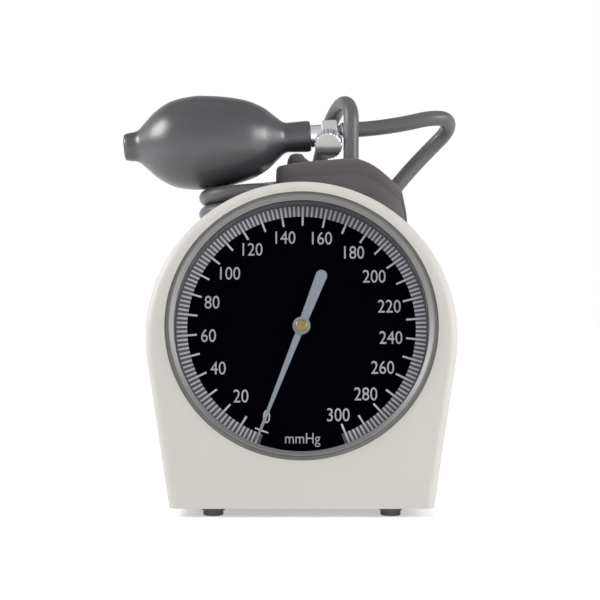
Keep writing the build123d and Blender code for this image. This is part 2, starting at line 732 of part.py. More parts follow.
with BuildPart() as intake_valve:
    with BuildSketch(bulb_section):
        with BuildLine():
            Polyline(
                (-0.6, 1.2), (-0.6, 4.9), (9.5, 4.9), (9.5, 1.4), (8.5, 1.4), (8.5, 2.7),
                (4.0, 2.7), (3.0, 1.2), (-0.6, 1.2),
            )
        make_face()
    revolve(axis=bulb_axis)
save(intake_valve.part, "intake_valve")

BALL_RADIUS = 2.2
with BuildPart() as intake_ball:
    with BuildSketch(bulb_section):
        with BuildLine():
            Line((5.2 - BALL_RADIUS + 0.3, 0), (5.2 + BALL_RADIUS + 0.3, 0))
            ThreePointArc(
                (5.2 - BALL_RADIUS + 0.3, 0), (5.5, BALL_RADIUS), (5.2 + BALL_RADIUS + 0.3, 0)
            )
        make_face()
    revolve(axis=bulb_axis)
save(intake_ball.part, "intake_ball")

BLOCK_START, BLOCK_END = 122.3, 131.8
STEM_START = NECK_END - 8.0
VALVE_MIDDLE = along((BLOCK_START + BLOCK_END) / 2).origin
KNOB_DIRECTION = Vector(-0.05, -0.88, -0.46).normalized()
OUTLET_DIRECTION = Vector(0.975, 0.20, 0.08).normalized()
OUTLET_START = VALVE_MIDDLE + Vector(3.5, 1.0, 2.6)
NEEDLE_BORE = 1.6
KNOB_START = 10.3
KNOB_RADIUS, KNOB_LENGTH = 8.4, 8.0
CHECK_SEAT = NECK_END + 1.2
knob_axis = Axis(VALVE_MIDDLE, KNOB_DIRECTION)
knob_plane = Plane(VALVE_MIDDLE, z_dir=KNOB_DIRECTION)
outlet_plane = Plane(OUTLET_START, z_dir=OUTLET_DIRECTION)
with BuildPart() as valve_body:
    with BuildSketch(along(BLOCK_START)):
        RegularPolygon(8.7, 6, major_radius=False)
    extrude(amount=BLOCK_END - BLOCK_START)
    ends = valve_body.faces().sort_by(bulb_axis)
    chamfer(ends[0].edges() + ends[-1].edges(), length=0.7)
    with BuildSketch(along(STEM_START)):
        Circle(4.0)
    extrude(amount=BLOCK_START - STEM_START + 1)
    with BuildSketch(along(NECK_END)):
        Circle(6.9)
    extrude(amount=BLOCK_START - NECK_END + 1)
    with BuildSketch(knob_plane):
        Circle(4.6)
    extrude(amount=KNOB_START + 2.9)
    with BuildSketch(knob_plane.offset(-3.0)):
        Circle(NEEDLE_BORE + RUNNING)
    extrude(amount=20, mode=Mode.SUBTRACT)
    with BuildSketch(along(STEM_START - 1)):
        Circle(1.5)
    extrude(amount=22, mode=Mode.SUBTRACT)
    with BuildSketch(along(CHECK_SEAT)):
        Circle(BALL_RADIUS + 0.3)
    extrude(amount=6.5, mode=Mode.SUBTRACT)
save(valve_body.part, "valve_body")

with BuildPart() as check_ball:
    Sphere(BALL_RADIUS)
check_at = along(CHECK_SEAT + BALL_RADIUS + 0.1).origin
save(check_ball.part.moved(Location(check_at)), "check_ball")

with BuildPart() as outlet_barb:
    with BuildSketch(outlet_plane):
        Circle(3.4)
    extrude(amount=4.0)
    with BuildSketch(outlet_plane.offset(4.0)):
        Circle(HOSE / 2)
    extrude(amount=2.2)
    add(valve_body.part, mode=Mode.SUBTRACT)
save(outlet_barb.part, "outlet_barb")

with BuildPart() as valve_needle:
    with BuildSketch(knob_plane.offset(-1.0)):
        Circle(NEEDLE_BORE)
    extrude(amount=KNOB_START + 4.9)
    fillet(valve_needle.faces().sort_by(knob_axis)[0].edges(), radius=1.2)
save(valve_needle.part, "valve_needle")

with BuildPart() as release_knob:
    with BuildSketch(knob_plane.offset(KNOB_START)):
        Circle(KNOB_RADIUS)
        with PolarLocations(KNOB_RADIUS + 0.55, 24):
            Circle(0.9, mode=Mode.SUBTRACT)
    extrude(amount=KNOB_LENGTH)
    chamfer(release_knob.faces().sort_by(knob_axis)[-1].edges(), length=0.25)
    with BuildSketch(knob_plane.offset(KNOB_START)):
        Circle(4.9)
    extrude(amount=3.7, mode=Mode.SUBTRACT)
    with BuildSketch(knob_plane.offset(KNOB_START)):
        Circle(NEEDLE_BORE + RUNNING)
    extrude(amount=4.0, mode=Mode.SUBTRACT)
save(release_knob.part, "release_knob")

# Cuff: a rolled strip that stands on end, its top trimmed as it shows above the arch
CUFF_DEPTH = CUFF_BACK - CUFF_FRONT
ROLL_RIGHT = CUFF_DEPTH / 2 - WRAP / 2  # centre line's radius at the right end of the outer wrap
ROLL_RIGHT_X = CUFF_RIGHT - CUFF_DEPTH / 2
ROLL_LEFT = ROLL_RIGHT - WRAP_PITCH / 2  # the same at the left end
ROLL_LEFT_X = CUFF_LEFT + ROLL_LEFT + WRAP / 2
ROLL_Y = (CUFF_FRONT + CUFF_BACK) / 2
CUFF_END_X = 8.0
WRAPS = 3


def roll_line(wraps, start_x):
    """The strip's centre line, from its outer end on the rear side inwards, clockwise."""
    for k in range(wraps):
        right = ROLL_RIGHT - k * WRAP_PITCH
        left = right - WRAP_PITCH / 2
        back, front = ROLL_Y + right, ROLL_Y - right
        Line((start_x if k == 0 else ROLL_LEFT_X, back), (ROLL_RIGHT_X, back))
        ThreePointArc((ROLL_RIGHT_X, back), (ROLL_RIGHT_X + right, ROLL_Y), (ROLL_RIGHT_X, front))
        Line((ROLL_RIGHT_X, front), (ROLL_LEFT_X, front))
        if k < wraps - 1:
            ThreePointArc(
                (ROLL_LEFT_X, front),
                (ROLL_LEFT_X - left, front + left),
                (ROLL_LEFT_X, front + 2 * left),
            )


PORT_TOP = (30.3, 21.4)
PORT_REAR = (37.0, 60.2, 170.0)
# The inner wraps stand a little higher than the outer one at the left end
INNER_END = ROLL_Y - ROLL_RIGHT + ROLL_LEFT
with BuildPart() as inner_rise:
    with BuildSketch(Plane.XY.offset(190)):
        with Locations((ROLL_LEFT_X, INNER_END)):
            Circle(ROLL_LEFT - WRAP / 2 - 0.3)
    extrude(amount=30)
    with BuildSketch(Plane.XZ.offset(-(INNER_END + 20))):
        with BuildLine():
            Polyline(
                (-12.0, 195.0),
                (-9.3, 207.5),
                (-6.5, 210.8),
                (-3.0, 211.2),
                (0.5, 210.4),
                (4.0, 205.0),
                (6.0, 195.0),
                (-12.0, 195.0),
            )
        make_face()
    extrude(amount=40, mode=Mode.INTERSECT)
with BuildPart() as cuff_trim:
    with BuildSketch(Plane.XZ.offset(-(CUFF_BACK + 5))):
        with BuildLine():
            Polyline(
                (CUFF_LEFT - 10, CUFF_BOTTOM - 5),
                (CUFF_LEFT - 10, 180.0),
                (-17.9, 192.8),
                (-15.2, 203.4),
                (17.3, 206.2),
                (26.4, 207.4),
                (34.3, 207.4),
            )
            ThreePointArc((34.3, 207.4), (46.4, 201.5), (58.0, 191.0))
            Polyline(
                (58.0, 191.0),
                (61.0, 190.0),
                (66.2, 168.0),
                (75, 160),
                (75, CUFF_BOTTOM - 5),
                (CUFF_LEFT - 10, CUFF_BOTTOM - 5),
            )
        make_face()
    extrude(amount=CUFF_DEPTH + 10)
    add(inner_rise.part)
with BuildPart() as cuff:
    with BuildSketch(Plane.XY.offset(CUFF_BOTTOM)):
        with BuildLine():
            roll_line(WRAPS, CUFF_END_X)
        trace(line_width=WRAP)
    extrude(amount=160)
    add(cuff_trim.part, mode=Mode.INTERSECT)
    # The pocket that holds the bladder, and the holes that its ports come out of
    with BuildSketch(Plane.XY.offset(CUFF_BOTTOM + 12)):
        with BuildLine():
            Line((CUFF_END_X + 12, ROLL_Y + ROLL_RIGHT), (ROLL_RIGHT_X - 1, ROLL_Y + ROLL_RIGHT))
        trace(line_width=3.2)
    extrude(amount=108, mode=Mode.SUBTRACT)
    with BuildSketch(Plane.XY.offset(198)):
        with Locations(PORT_TOP):
            Circle(HOSE / 2 + 0.35)
    extrude(amount=30, mode=Mode.SUBTRACT)
    with BuildSketch(Plane.XZ.offset(-(CUFF_BACK + 1))):
        with Locations((PORT_REAR[0], PORT_REAR[2] - 2)):
            Circle(2.5)
    extrude(amount=3.2, mode=Mode.SUBTRACT)
save(cuff.part, "cuff")

with BuildPart() as bladder:
    with BuildSketch(Plane.XY.offset(CUFF_BOTTOM + 12.3)):
        with BuildLine():
            Line((CUFF_END_X + 12.3, ROLL_Y + ROLL_RIGHT), (ROLL_RIGHT_X - 1.3, ROLL_Y + ROLL_RIGHT))
        trace(line_width=2.6)
    extrude(amount=107.4)
save(bladder.part, "bladder")

with BuildPart() as cuff_hook_strip:
    with BuildSketch(Plane.XY.offset(CUFF_BOTTOM + 15)):
        with Locations((CUFF_END_X + 14, CUFF_BACK + 0.4)):
            Rectangle(26, 0.8)
    extrude(amount=60)
save(cuff_hook_strip.part, "cuff_hook_strip")

with BuildPart() as cuff_port_top:
    with BuildSketch(Plane.XY.offset(198)):
        with Locations(PORT_TOP):
            Circle(HOSE / 2)
    extrude(amount=3)
save(cuff_port_top.part, "cuff_port_top")

PORT_DIRECTION = Vector(0.68, 0.0, 0.73).normalized()
with BuildPart() as cuff_port_rear:
    with BuildSketch(Plane.XZ.offset(-(PORT_REAR[1] + 2))):
        with Locations((PORT_REAR[0], PORT_REAR[2] - 2)):
            Circle(4.2)
    extrude(amount=PORT_REAR[1] + 2 - CUFF_BACK - 0.05)
    with BuildSketch(Plane.XZ.offset(-PORT_REAR[1])):
        with Locations((PORT_REAR[0], PORT_REAR[2] - 2)):
            Circle(2.4)
    extrude(amount=PORT_REAR[1] - CUFF_BACK + 1.6)
    port_mouth = Vector(PORT_REAR[0], PORT_REAR[1], PORT_REAR[2] - 2)
    with BuildSketch(Plane(port_mouth, z_dir=PORT_DIRECTION)):
        Circle(HOSE / 2)
    extrude(amount=8)
save(cuff_port_rear.part, "cuff_port_rear")


# Hoses
def corner_radii(points):
    """The largest arc that each corner's two runs allow."""
    radii = []
    for a, b, c in zip(points, points[1:], points[2:]):
        before, after = Vector(*b) - Vector(*a), Vector(*c) - Vector(*b)
        turn = radians(before.get_angle(after))
        radii.append(0.45 * min(before.length, after.length) / tan(turn / 2))
    return radii


def hose_along(points, name):
    """A round hose along a route of straight runs and tangent arcs."""
    radii = corner_radii(points)
    with BuildPart() as hose:
        with BuildLine() as route:
            FilletPolyline(*points, radius=radii)
        with BuildSketch(Plane(points[0], z_dir=route.line @ 0.001 - route.line @ 0)):
            Circle(HOSE / 2)
        sweep()
    length = sum(edge.length for edge in route.edges())
    share = hose.part.volume / (pi * HOSE**2 / 4 * length)
    print(name, "length", round(length), "radii", [round(r) for r in radii], "volume", round(share, 4))
    save(hose.part, name)


outlet_end = OUTLET_START + OUTLET_DIRECTION * 6.2
rear_port_end = port_mouth + PORT_DIRECTION * 8
BULB_HOSE = [
    tuple(outlet_end),
    tuple(outlet_end + OUTLET_DIRECTION * 14),
    (53.0, 42.5, 229.4),
    (66.0, 43.0, 231.6),
    (80.5, 45.5, 235.2),
    (92.0, 52.0, 235.5),
    (93.5, 62.5, 229.0),
    (83.0, 67.5, 218.5),
    (70.0, 65.0, 205.0),
    tuple(rear_port_end + PORT_DIRECTION * 20),
    tuple(rear_port_end),
]
hose_along(BULB_HOSE, "bulb_hose")


def coil_point(turn):
    """A point of the coil's centre line, this many turns up from its lower end."""
    angle = 2 * pi * turn
    return Vector(
        COIL_X + COIL_RADIUS * cos(angle),
        COIL_Y + COIL_RADIUS * sin(angle),
        COIL_START_Z + COIL_PITCH * turn,
    )


def coil_tangent(turn):
    angle = 2 * pi * turn
    return Vector(
        -COIL_RADIUS * sin(angle), COIL_RADIUS * cos(angle), COIL_PITCH / (2 * pi)
    ).normalized()


def biarc_join(start, start_way, end, end_way):
    """Where two tangent arcs of like size meet between two points of a curve."""
    span = end - start
    both = start_way + end_way
    a = 2 * (start_way.dot(end_way) - 1)
    b = -2 * span.dot(both)
    c = span.dot(span)
    reach = (-b - (b * b - 4 * a * c) ** 0.5) / (2 * a)
    return (start + start_way * reach + end - end_way * reach) / 2, reach


COIL_START_Z = BASKET_FLOOR + HOSE / 2 + 1.2
LEAD_BEND = 2.5 * HOSE
barb_end = face.from_local_coords((BARB_U, BARB_V, BARB_TIP))
barb_way = face.z_dir * -1
with BuildPart() as gauge_hose_coil:
    with BuildLine() as coil_line:
        first, first_way = coil_point(0), coil_tangent(0)
        # The lead comes off the barb along its axis and turns once onto the coil's first turn
        gap = first - barb_end
        crossing = barb_way.Y * first_way.Z - barb_way.Z * first_way.Y
        lead = (gap.Y * first_way.Z - gap.Z * first_way.Y) / crossing
        FilletPolyline(barb_end, barb_end + barb_way * lead, first, radius=LEAD_BEND)
        for k in range(4 * COIL_TURNS):
            start, end = coil_point(k / 4), coil_point((k + 1) / 4)
            start_way, end_way = coil_tangent(k / 4), coil_tangent((k + 1) / 4)
            join, reach = biarc_join(start, start_way, end, end_way)
            join_way = ((end - end_way * reach) - (start + start_way * reach)).normalized()
            TangentArc(start, join, tangent=start_way)
            TangentArc(join, end, tangent=join_way)
        last, last_way = coil_point(COIL_TURNS), coil_tangent(COIL_TURNS)
        Line(last, last + last_way * HOSE)
    with BuildSketch(Plane(barb_end, z_dir=barb_way)):
        Circle(HOSE / 2)
    sweep()
coil_length = sum(edge.length for edge in coil_line.edges())
# The least gap between turns, on points along the centre line that lie over half a turn apart
spots = [edge @ (k / 4) for edge in coil_line.edges() for k in range(4)]
least = min((a - b).length for i, a in enumerate(spots) for b in spots[i + 16 :])
share = gauge_hose_coil.part.volume / (pi * HOSE**2 / 4 * coil_length)
print("coil length", round(coil_length), "gap", round(least - HOSE, 2), "volume", round(share, 4))
save(gauge_hose_coil.part, "gauge_hose_coil")

loop_start = last + last_way * HOSE
GAUGE_LOOP = [
    tuple(loop_start),
    tuple(loop_start + last_way * 7),
    (-17.0, 59.5, 191.5),
    (-9.0, 62.0, 193.0),
    (2.5, 62.0, 195.8),
    (10.6, 61.8, 203.5),
    (13.3, 61.0, 216.0),
    (16.6, 59.5, 228.0),
    (20.2, 54.5, 237.0),
    (24.2, 44.0, 243.1),
    (28.2, 32.0, 243.1),
    (30.6, 23.5, 236.0),
    (30.3, 21.4, 224.0),
    (30.3, 21.4, 201.0),
]
hose_along(GAUGE_LOOP, "gauge_hose_loop")
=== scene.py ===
# %% [markdown]
# # Dressing a desk sphygmomanometer
# The CAD model gives every piece its place and size. This lesson loads it as a fixed frame,
# lays the hoses, prints the dial, rolls the cuff, moulds the bulb and gives each piece a finish.

from math import cos, pi, radians, sin

import bmesh
import bpy
from mathutils import Matrix, Vector


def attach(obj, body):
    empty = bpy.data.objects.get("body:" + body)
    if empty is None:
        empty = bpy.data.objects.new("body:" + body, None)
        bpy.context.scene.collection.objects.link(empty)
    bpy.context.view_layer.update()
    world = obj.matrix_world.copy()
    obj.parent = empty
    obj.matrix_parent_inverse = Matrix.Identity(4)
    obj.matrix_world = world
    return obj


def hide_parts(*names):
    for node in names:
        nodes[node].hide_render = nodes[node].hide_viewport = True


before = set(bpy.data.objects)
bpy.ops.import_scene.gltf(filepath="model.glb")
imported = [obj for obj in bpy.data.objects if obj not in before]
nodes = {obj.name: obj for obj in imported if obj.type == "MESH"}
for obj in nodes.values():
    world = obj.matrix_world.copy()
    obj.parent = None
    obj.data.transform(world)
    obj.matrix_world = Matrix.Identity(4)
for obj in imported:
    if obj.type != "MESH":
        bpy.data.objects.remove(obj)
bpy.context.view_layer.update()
MM = 0.001

# %% [markdown]
# ## Camera
# The photograph is taken level with the dial from about a metre away, so the upright edges stay
# upright. A long lens at that distance gives the same mild perspective. The Standard view shows
# colours as they are mixed, with no film look on top.

# %% Camera
CAMERA_PLACE = (-0.0009, -0.997, 0.1213)
LENS_LENGTH, FILM_WIDTH = 100, 36
camera_data = bpy.data.cameras.new("camera")
camera_data.lens = LENS_LENGTH
camera_data.sensor_width = FILM_WIDTH
camera = bpy.data.objects.new("camera", camera_data)
camera.location = CAMERA_PLACE
camera.rotation_euler = (radians(90), 0, 0)
bpy.context.scene.collection.objects.link(camera)
bpy.context.scene.camera = camera
bpy.context.scene.view_settings.view_transform = "Standard"
print("camera distance in metres", -CAMERA_PLACE[1])

# %% [markdown]
# ## Hoses
# A rubber hose is a round tube of one thickness that bends in smooth curves. A mesh swept along a
# line would do, but a NURBS curve with a round bevel draws the tube from a few control points,
# its line never has a kink, and a point can be moved without rebuilding anything.

# %% A hose from its control points
HOSE = 9.5 * MM
LINE_STEPS, ROUND_STEPS = 6, 8


def hose(name, points):
    """A round hose on a smooth line through the space between its control points."""
    curve = bpy.data.curves.new(name, "CURVE")
    curve.dimensions = "3D"
    spline = curve.splines.new("NURBS")
    spline.points.add(len(points) - 1)
    for control, place in zip(spline.points, points):
        control.co = (*(Vector(place) * MM), 1)
        control.radius = HOSE / 2
    spline.order_u = 3
    spline.use_endpoint_u = True
    spline.resolution_u = LINE_STEPS
    curve.bevel_depth = 1.0
    curve.bevel_resolution = ROUND_STEPS
    curve.use_fill_caps = True
    piece = bpy.data.objects.new(name, curve)
    bpy.context.scene.collection.objects.link(piece)
    return piece


# %% [markdown]
# ## The bulb's hose
# This hose leaves the valve, swings out to the right, folds back and goes down into the rear of
# the cuff. Its points are chosen along the line that shows in the photograph.

# %% The bulb's hose, from the valve to the back of the cuff
BULB_HOSE = [
    (26.87, 38.24, 226.64),
    (40.54, 41.05, 227.76),
    (53.0, 42.5, 229.4),
    (66.0, 43.0, 231.6),
    (80.5, 45.5, 235.2),
    (92.0, 52.0, 235.5),
    (93.5, 62.5, 229.0),
    (83.0, 67.5, 218.5),
    (70.0, 65.0, 205.0),
    (56.09, 60.2, 188.49),
    (42.45, 60.2, 173.85),
]
bulb_hose = hose("bulb_hose_line", BULB_HOSE)
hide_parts("bulb_hose")
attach(bulb_hose, "case")
print("bulb hose points", len(BULB_HOSE))

# %% [markdown]
# ## The gauge hose
# The gauge hose is one piece: a short lead off the gauge's barb, a coil that stands in the
# basket like a spring, and a loop that rises and dips into the cuff. A loop in the script lays
# the coil's turns. A NURBS line runs a little inside its control points, so they stand on a
# slightly wider circle. The coil's two ends are put back on the true circle to meet the leads.

# %% The coil
COIL_X, COIL_Y, COIL_RADIUS = -40.0, 36.0, 18.6
COIL_TURNS, COIL_PITCH, COIL_LOW = 12, 10.1, 68.15
POINTS_PER_TURN = 16
COIL_EDGE = COIL_X + COIL_RADIUS
COIL_TOP = COIL_LOW + COIL_TURNS * COIL_PITCH
control_radius = COIL_RADIUS / cos(pi / POINTS_PER_TURN)
coil_line = []
for k in range(COIL_TURNS * POINTS_PER_TURN + 1):
    angle = 2 * pi * k / POINTS_PER_TURN
    coil_line.append((
        COIL_X + control_radius * cos(angle),
        COIL_Y + control_radius * sin(angle),
        COIL_LOW + COIL_PITCH * k / POINTS_PER_TURN,
    ))
coil_line[0] = (COIL_EDGE, COIL_Y, COIL_LOW)
coil_line[-1] = (COIL_EDGE, COIL_Y, COIL_TOP)
print("coil height in millimetres", round(COIL_TOP - COIL_LOW, 1))

# %% The whole gauge hose, from the barb through the coil to the loop
GAUGE_HOSE = [
    (COIL_EDGE, 17.19, 68.68),
    (COIL_EDGE, 22.0, 67.66),
    (COIL_EDGE, 28.0, 67.4),
    *coil_line,
    (COIL_EDGE, 45.46, 190.17),
    (COIL_EDGE, 52.44, 190.77),
    (-17.0, 59.5, 191.5),
    (-9.0, 62.0, 193.0),
    (2.5, 62.0, 195.8),
    (10.6, 61.8, 203.5),
    (13.3, 61.0, 216.0),
    (16.6, 59.5, 228.0),
    (20.2, 54.5, 237.0),
    (24.2, 44.0, 243.1),
    (28.2, 32.0, 243.1),
    (30.6, 23.5, 236.0),
    (30.3, 21.4, 224.0),
    (30.3, 21.4, 201.0),
]
gauge_hose = hose("gauge_hose_line", GAUGE_HOSE)
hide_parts("gauge_hose_coil", "gauge_hose_loop")
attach(gauge_hose, "case")
print("gauge hose points", len(GAUGE_HOSE))

# %% [markdown]
# ## Colours
# The finishes are picked as they look on screen, from 0 to 255. Blender's shaders work on linear
# light, so one small function turns a screen colour into a shader colour. Its numbers are those
# of the usual screen curve: a short straight part for the darkest tones, then a power.


# %% Screen colour to shader colour
def screen(red, green, blue):
    """A linear shader colour from a screen colour of 0 to 255 each."""
    linear = []
    for value in (red, green, blue):
        share = value / 255
        linear.append(share / 12.92 if share <= 0.04045 else ((share + 0.055) / 1.055) ** 2.4)
    return (*linear, 1)


print("mid grey in linear light", round(screen(128, 128, 128)[0], 3))

# %% [markdown]
# ## Shared surface effects
# Moulded plastic, rubber and plate are never one even colour. Two node groups carry what they
# share, so the effect is built once and each material sets its own amounts. One shades a colour
# slightly lighter and darker in patches. The other gives a fine height for a bump. Two small
# helpers keep the cells short: one makes an empty group, the other places a node.


# %% A shader group with named sockets
def shader_group(name, inputs, outputs):
    """An empty shader group. Inputs are (name, socket type, start value), outputs (name, type)."""
    group = bpy.data.node_groups.new(name, "ShaderNodeTree")
    for label, kind, start in inputs:
        socket = group.interface.new_socket(name=label, in_out="INPUT", socket_type=kind)
        if start is not None:
            socket.default_value = start
    for label, kind in outputs:
        group.interface.new_socket(name=label, in_out="OUTPUT", socket_type=kind)
    group.nodes.new("NodeGroupInput").name = "in"
    group.nodes.new("NodeGroupOutput").name = "out"
    return group


def node(tree, kind, **settings):
    """A new node with its settings. A key that starts with i and a number sets that input."""
    made = tree.nodes.new(kind)
    for key, value in settings.items():
        if key[0] == "i" and key[1:].isdigit():
            made.inputs[int(key[1:])].default_value = value
        else:
            setattr(made, key, value)
    return made


# %% [markdown]
# Handling and moulding leave a part's tone a little uneven. A noise over the whole object is
# centred on nought, scaled by the amount, and used to make the colour lighter or darker.

# %% Patchy tone: a colour that wanders a little
PATCH_DETAIL = 3
patchy_tone = shader_group(
    "patchy_tone",
    [("Colour", "NodeSocketColor", None), ("Scale", "NodeSocketFloat", 30.0),
     ("Amount", "NodeSocketFloat", 0.05)],
    [("Colour", "NodeSocketColor")],
)
links = patchy_tone.links
group_in, group_out = patchy_tone.nodes["in"], patchy_tone.nodes["out"]
place = node(patchy_tone, "ShaderNodeTexCoord")
noise = node(patchy_tone, "ShaderNodeTexNoise")
noise.inputs["Detail"].default_value = PATCH_DETAIL
links.new(place.outputs["Object"], noise.inputs["Vector"])
links.new(group_in.outputs["Scale"], noise.inputs["Scale"])
centred = node(patchy_tone, "ShaderNodeMath", operation="SUBTRACT", i1=0.5)
links.new(noise.outputs[0], centred.inputs[0])
swing = node(patchy_tone, "ShaderNodeMath", operation="MULTIPLY")
links.new(centred.outputs[0], swing.inputs[0])
links.new(group_in.outputs["Amount"], swing.inputs[1])
factor = node(patchy_tone, "ShaderNodeMath", operation="MULTIPLY_ADD", i1=2.0, i2=1.0)
links.new(swing.outputs[0], factor.inputs[0])
tinted = node(patchy_tone, "ShaderNodeVectorMath", operation="SCALE")
links.new(group_in.outputs["Colour"], tinted.inputs[0])
links.new(factor.outputs[0], tinted.inputs["Scale"])
links.new(tinted.outputs[0], group_out.inputs["Colour"])
print("patchy tone nodes", len(patchy_tone.nodes))

# %% [markdown]
# A moulded skin has a fine grain, and its sheen changes softly over larger areas. A small noise
# gives the height of the grain. A broad one spreads the roughness around its middle value.

# %% Fine grain: a height for moulded skins, and a mask for their sheen
GRAIN_DETAIL, SHEEN_SCALE, SHEEN_DETAIL = 2, 45, 3
fine_grain = shader_group(
    "fine_grain",
    [("Scale", "NodeSocketFloat", 2000.0), ("Roughness", "NodeSocketFloat", 0.4),
     ("Spread", "NodeSocketFloat", 0.1)],
    [("Height", "NodeSocketFloat"), ("Roughness", "NodeSocketFloat")],
)
links = fine_grain.links
group_in, group_out = fine_grain.nodes["in"], fine_grain.nodes["out"]
place = node(fine_grain, "ShaderNodeTexCoord")
noise = node(fine_grain, "ShaderNodeTexNoise")
noise.inputs["Detail"].default_value = GRAIN_DETAIL
links.new(place.outputs["Object"], noise.inputs["Vector"])
links.new(group_in.outputs["Scale"], noise.inputs["Scale"])
links.new(noise.outputs[0], group_out.inputs["Height"])
broad = node(fine_grain, "ShaderNodeTexNoise")
broad.inputs["Scale"].default_value = SHEEN_SCALE
broad.inputs["Detail"].default_value = SHEEN_DETAIL
links.new(place.outputs["Object"], broad.inputs["Vector"])
centred = node(fine_grain, "ShaderNodeMath", operation="SUBTRACT", i1=0.5)
links.new(broad.outputs[0], centred.inputs[0])
spread = node(fine_grain, "ShaderNodeMath", operation="MULTIPLY_ADD")
links.new(centred.outputs[0], spread.inputs[0])
links.new(group_in.outputs["Spread"], spread.inputs[1])
links.new(group_in.outputs["Roughness"], spread.inputs[2])
links.new(spread.outputs[0], group_out.inputs["Roughness"])
print("fine grain nodes", len(fine_grain.nodes))

# %% [markdown]
# ## Finishes
# Every finish is a Principled shader fed by those two groups. What differs is the colour, how
# rough it is, whether it is metal, and how large and deep its grain is. One function with those
# as its settings saves building twenty materials by hand.


# %% One finish
GRAIN_HEIGHT = 0.0004


def finish_of(name, colour, roughness, metal=0.0, patch=(30.0, 0.05), grain=(2000.0, 0.02),
              spread=0.1, **shader_values):
    """A Principled material. Patch is a scale and an amount, grain is a scale and a depth."""
    material = bpy.data.materials.new(name)
    material.use_nodes = True
    tree = material.node_tree
    shader = tree.nodes["Principled BSDF"]
    shader.inputs["Metallic"].default_value = metal
    for label, value in shader_values.items():
        shader.inputs[label.replace("_", " ")].default_value = value
    tone = node(tree, "ShaderNodeGroup", node_tree=patchy_tone)
    tone.inputs["Colour"].default_value = colour
    tone.inputs["Scale"].default_value, tone.inputs["Amount"].default_value = patch
    tree.links.new(tone.outputs["Colour"], shader.inputs["Base Color"])
    skin = node(tree, "ShaderNodeGroup", node_tree=fine_grain)
    skin.inputs["Scale"].default_value = grain[0]
    skin.inputs["Roughness"].default_value = roughness
    skin.inputs["Spread"].default_value = spread
    tree.links.new(skin.outputs["Roughness"], shader.inputs["Roughness"])
    bump = node(tree, "ShaderNodeBump")
    bump.inputs["Strength"].default_value = grain[1]
    bump.inputs["Distance"].default_value = GRAIN_HEIGHT
    tree.links.new(skin.outputs["Height"], bump.inputs["Height"])
    tree.links.new(bump.outputs[0], shader.inputs["Normal"])
    return material


# %% [markdown]
# The case is a smooth, slightly warm white plastic with a silky sheen. The storage basket behind
# it is the same plastic with a coarser grain. The bezel is grey and picks up some metal glint.

# %% The plastics
case_plastic = finish_of("case_plastic", screen(221, 217, 212), 0.42, patch=(14.0, 0.02),
                         grain=(2600.0, 0.25), spread=0.12)
basket_plastic = finish_of("basket_plastic", screen(218, 214, 207), 0.5, patch=(14.0, 0.03),
                           grain=(1800.0, 0.4))
bezel_plastic = finish_of("bezel_plastic", screen(136, 136, 135), 0.5, metal=0.6,
                          grain=(2200.0, 0.1))
ring_plastic = finish_of("ring_plastic", screen(96, 96, 98), 0.5, grain=(2200.0, 0.2))
port_plastic = finish_of("port_plastic", screen(66, 66, 68), 0.4)
print("materials with the plastics", len(bpy.data.materials))

# %% [markdown]
# The rubbers are all greys. The bulb and the hoses are shiny where lamps catch them, while the
# feet and the gasket are dull.

# %% The rubbers
gasket_rubber = finish_of("gasket_rubber", screen(52, 52, 54), 0.6)
foot_rubber = finish_of("foot_rubber", screen(124, 123, 123), 0.7, patch=(220.0, 0.12),
                        grain=(1500.0, 0.5))
hose_rubber = finish_of("hose_rubber", screen(96, 95, 98), 0.36, patch=(60.0, 0.06),
                        grain=(1600.0, 0.25), spread=0.15)
bulb_rubber = finish_of("bulb_rubber", screen(64, 63, 68), 0.35, patch=(25.0, 0.05),
                        grain=(1300.0, 0.12), spread=0.12, Specular_IOR_Level=1.0)
bladder_rubber = finish_of("bladder_rubber", screen(70, 68, 70), 0.6)
print("materials with the rubbers", len(bpy.data.materials))

# %% [markdown]
# The dial is painted nearly black and dead flat, so its sheen is turned off. The print comes in
# three tones: the numbers, the brighter ticks, and the grey band that lies under the ticks. The
# pointer's paint is a pale blue grey.

# %% The paints and inks
dial_paint = finish_of("dial_paint", screen(4, 3, 9), 0.7, patch=(60.0, 0.1),
                       grain=(2000.0, 0.0), Specular_IOR_Level=0.0)
print_ink = finish_of("print_ink", screen(180, 180, 187), 0.6, patch=(300.0, 0.04))
tick_ink = finish_of("tick_ink", screen(206, 206, 212), 0.6, patch=(300.0, 0.04))
annulus_ink = finish_of("annulus_ink", screen(100, 100, 107), 0.7, patch=(120.0, 0.05),
                        Specular_IOR_Level=0.1)
pointer_paint = finish_of("pointer_paint", screen(139, 145, 155), 0.45, patch=(200.0, 0.04))
print("materials with the paints and inks", len(bpy.data.materials))

# %% [markdown]
# The movement is brass and bronze, the screws and arbors are steel, and the valve is plated. A
# metal has its colour in its reflections, so Metallic is one and the roughness does the rest.

# %% The metals
brass = finish_of("brass", screen(146, 130, 86), 0.34, metal=1.0, patch=(220.0, 0.1),
                  grain=(900.0, 0.15))
bronze = finish_of("bronze", screen(186, 132, 92), 0.36, metal=1.0, patch=(160.0, 0.12))
steel = finish_of("steel", screen(176, 177, 180), 0.34, metal=1.0, patch=(260.0, 0.08))
aluminium = finish_of("aluminium", screen(192, 194, 198), 0.45, metal=1.0, patch=(90.0, 0.06))
chrome = finish_of("chrome", screen(240, 242, 245), 0.2, metal=1.0, patch=(120.0, 0.04),
                   grain=(260.0, 0.06), spread=0.06)
print("materials with the metals", len(bpy.data.materials))

# %% [markdown]
# ## The lens
# The lens is clear acrylic. Transmission makes it glass-like, and an index of one keeps it from
# laying a grey veil over the black dial, as a coated lens does. Shadow rays and diffuse rays
# pass straight through it, so the lamps light the dial evenly.

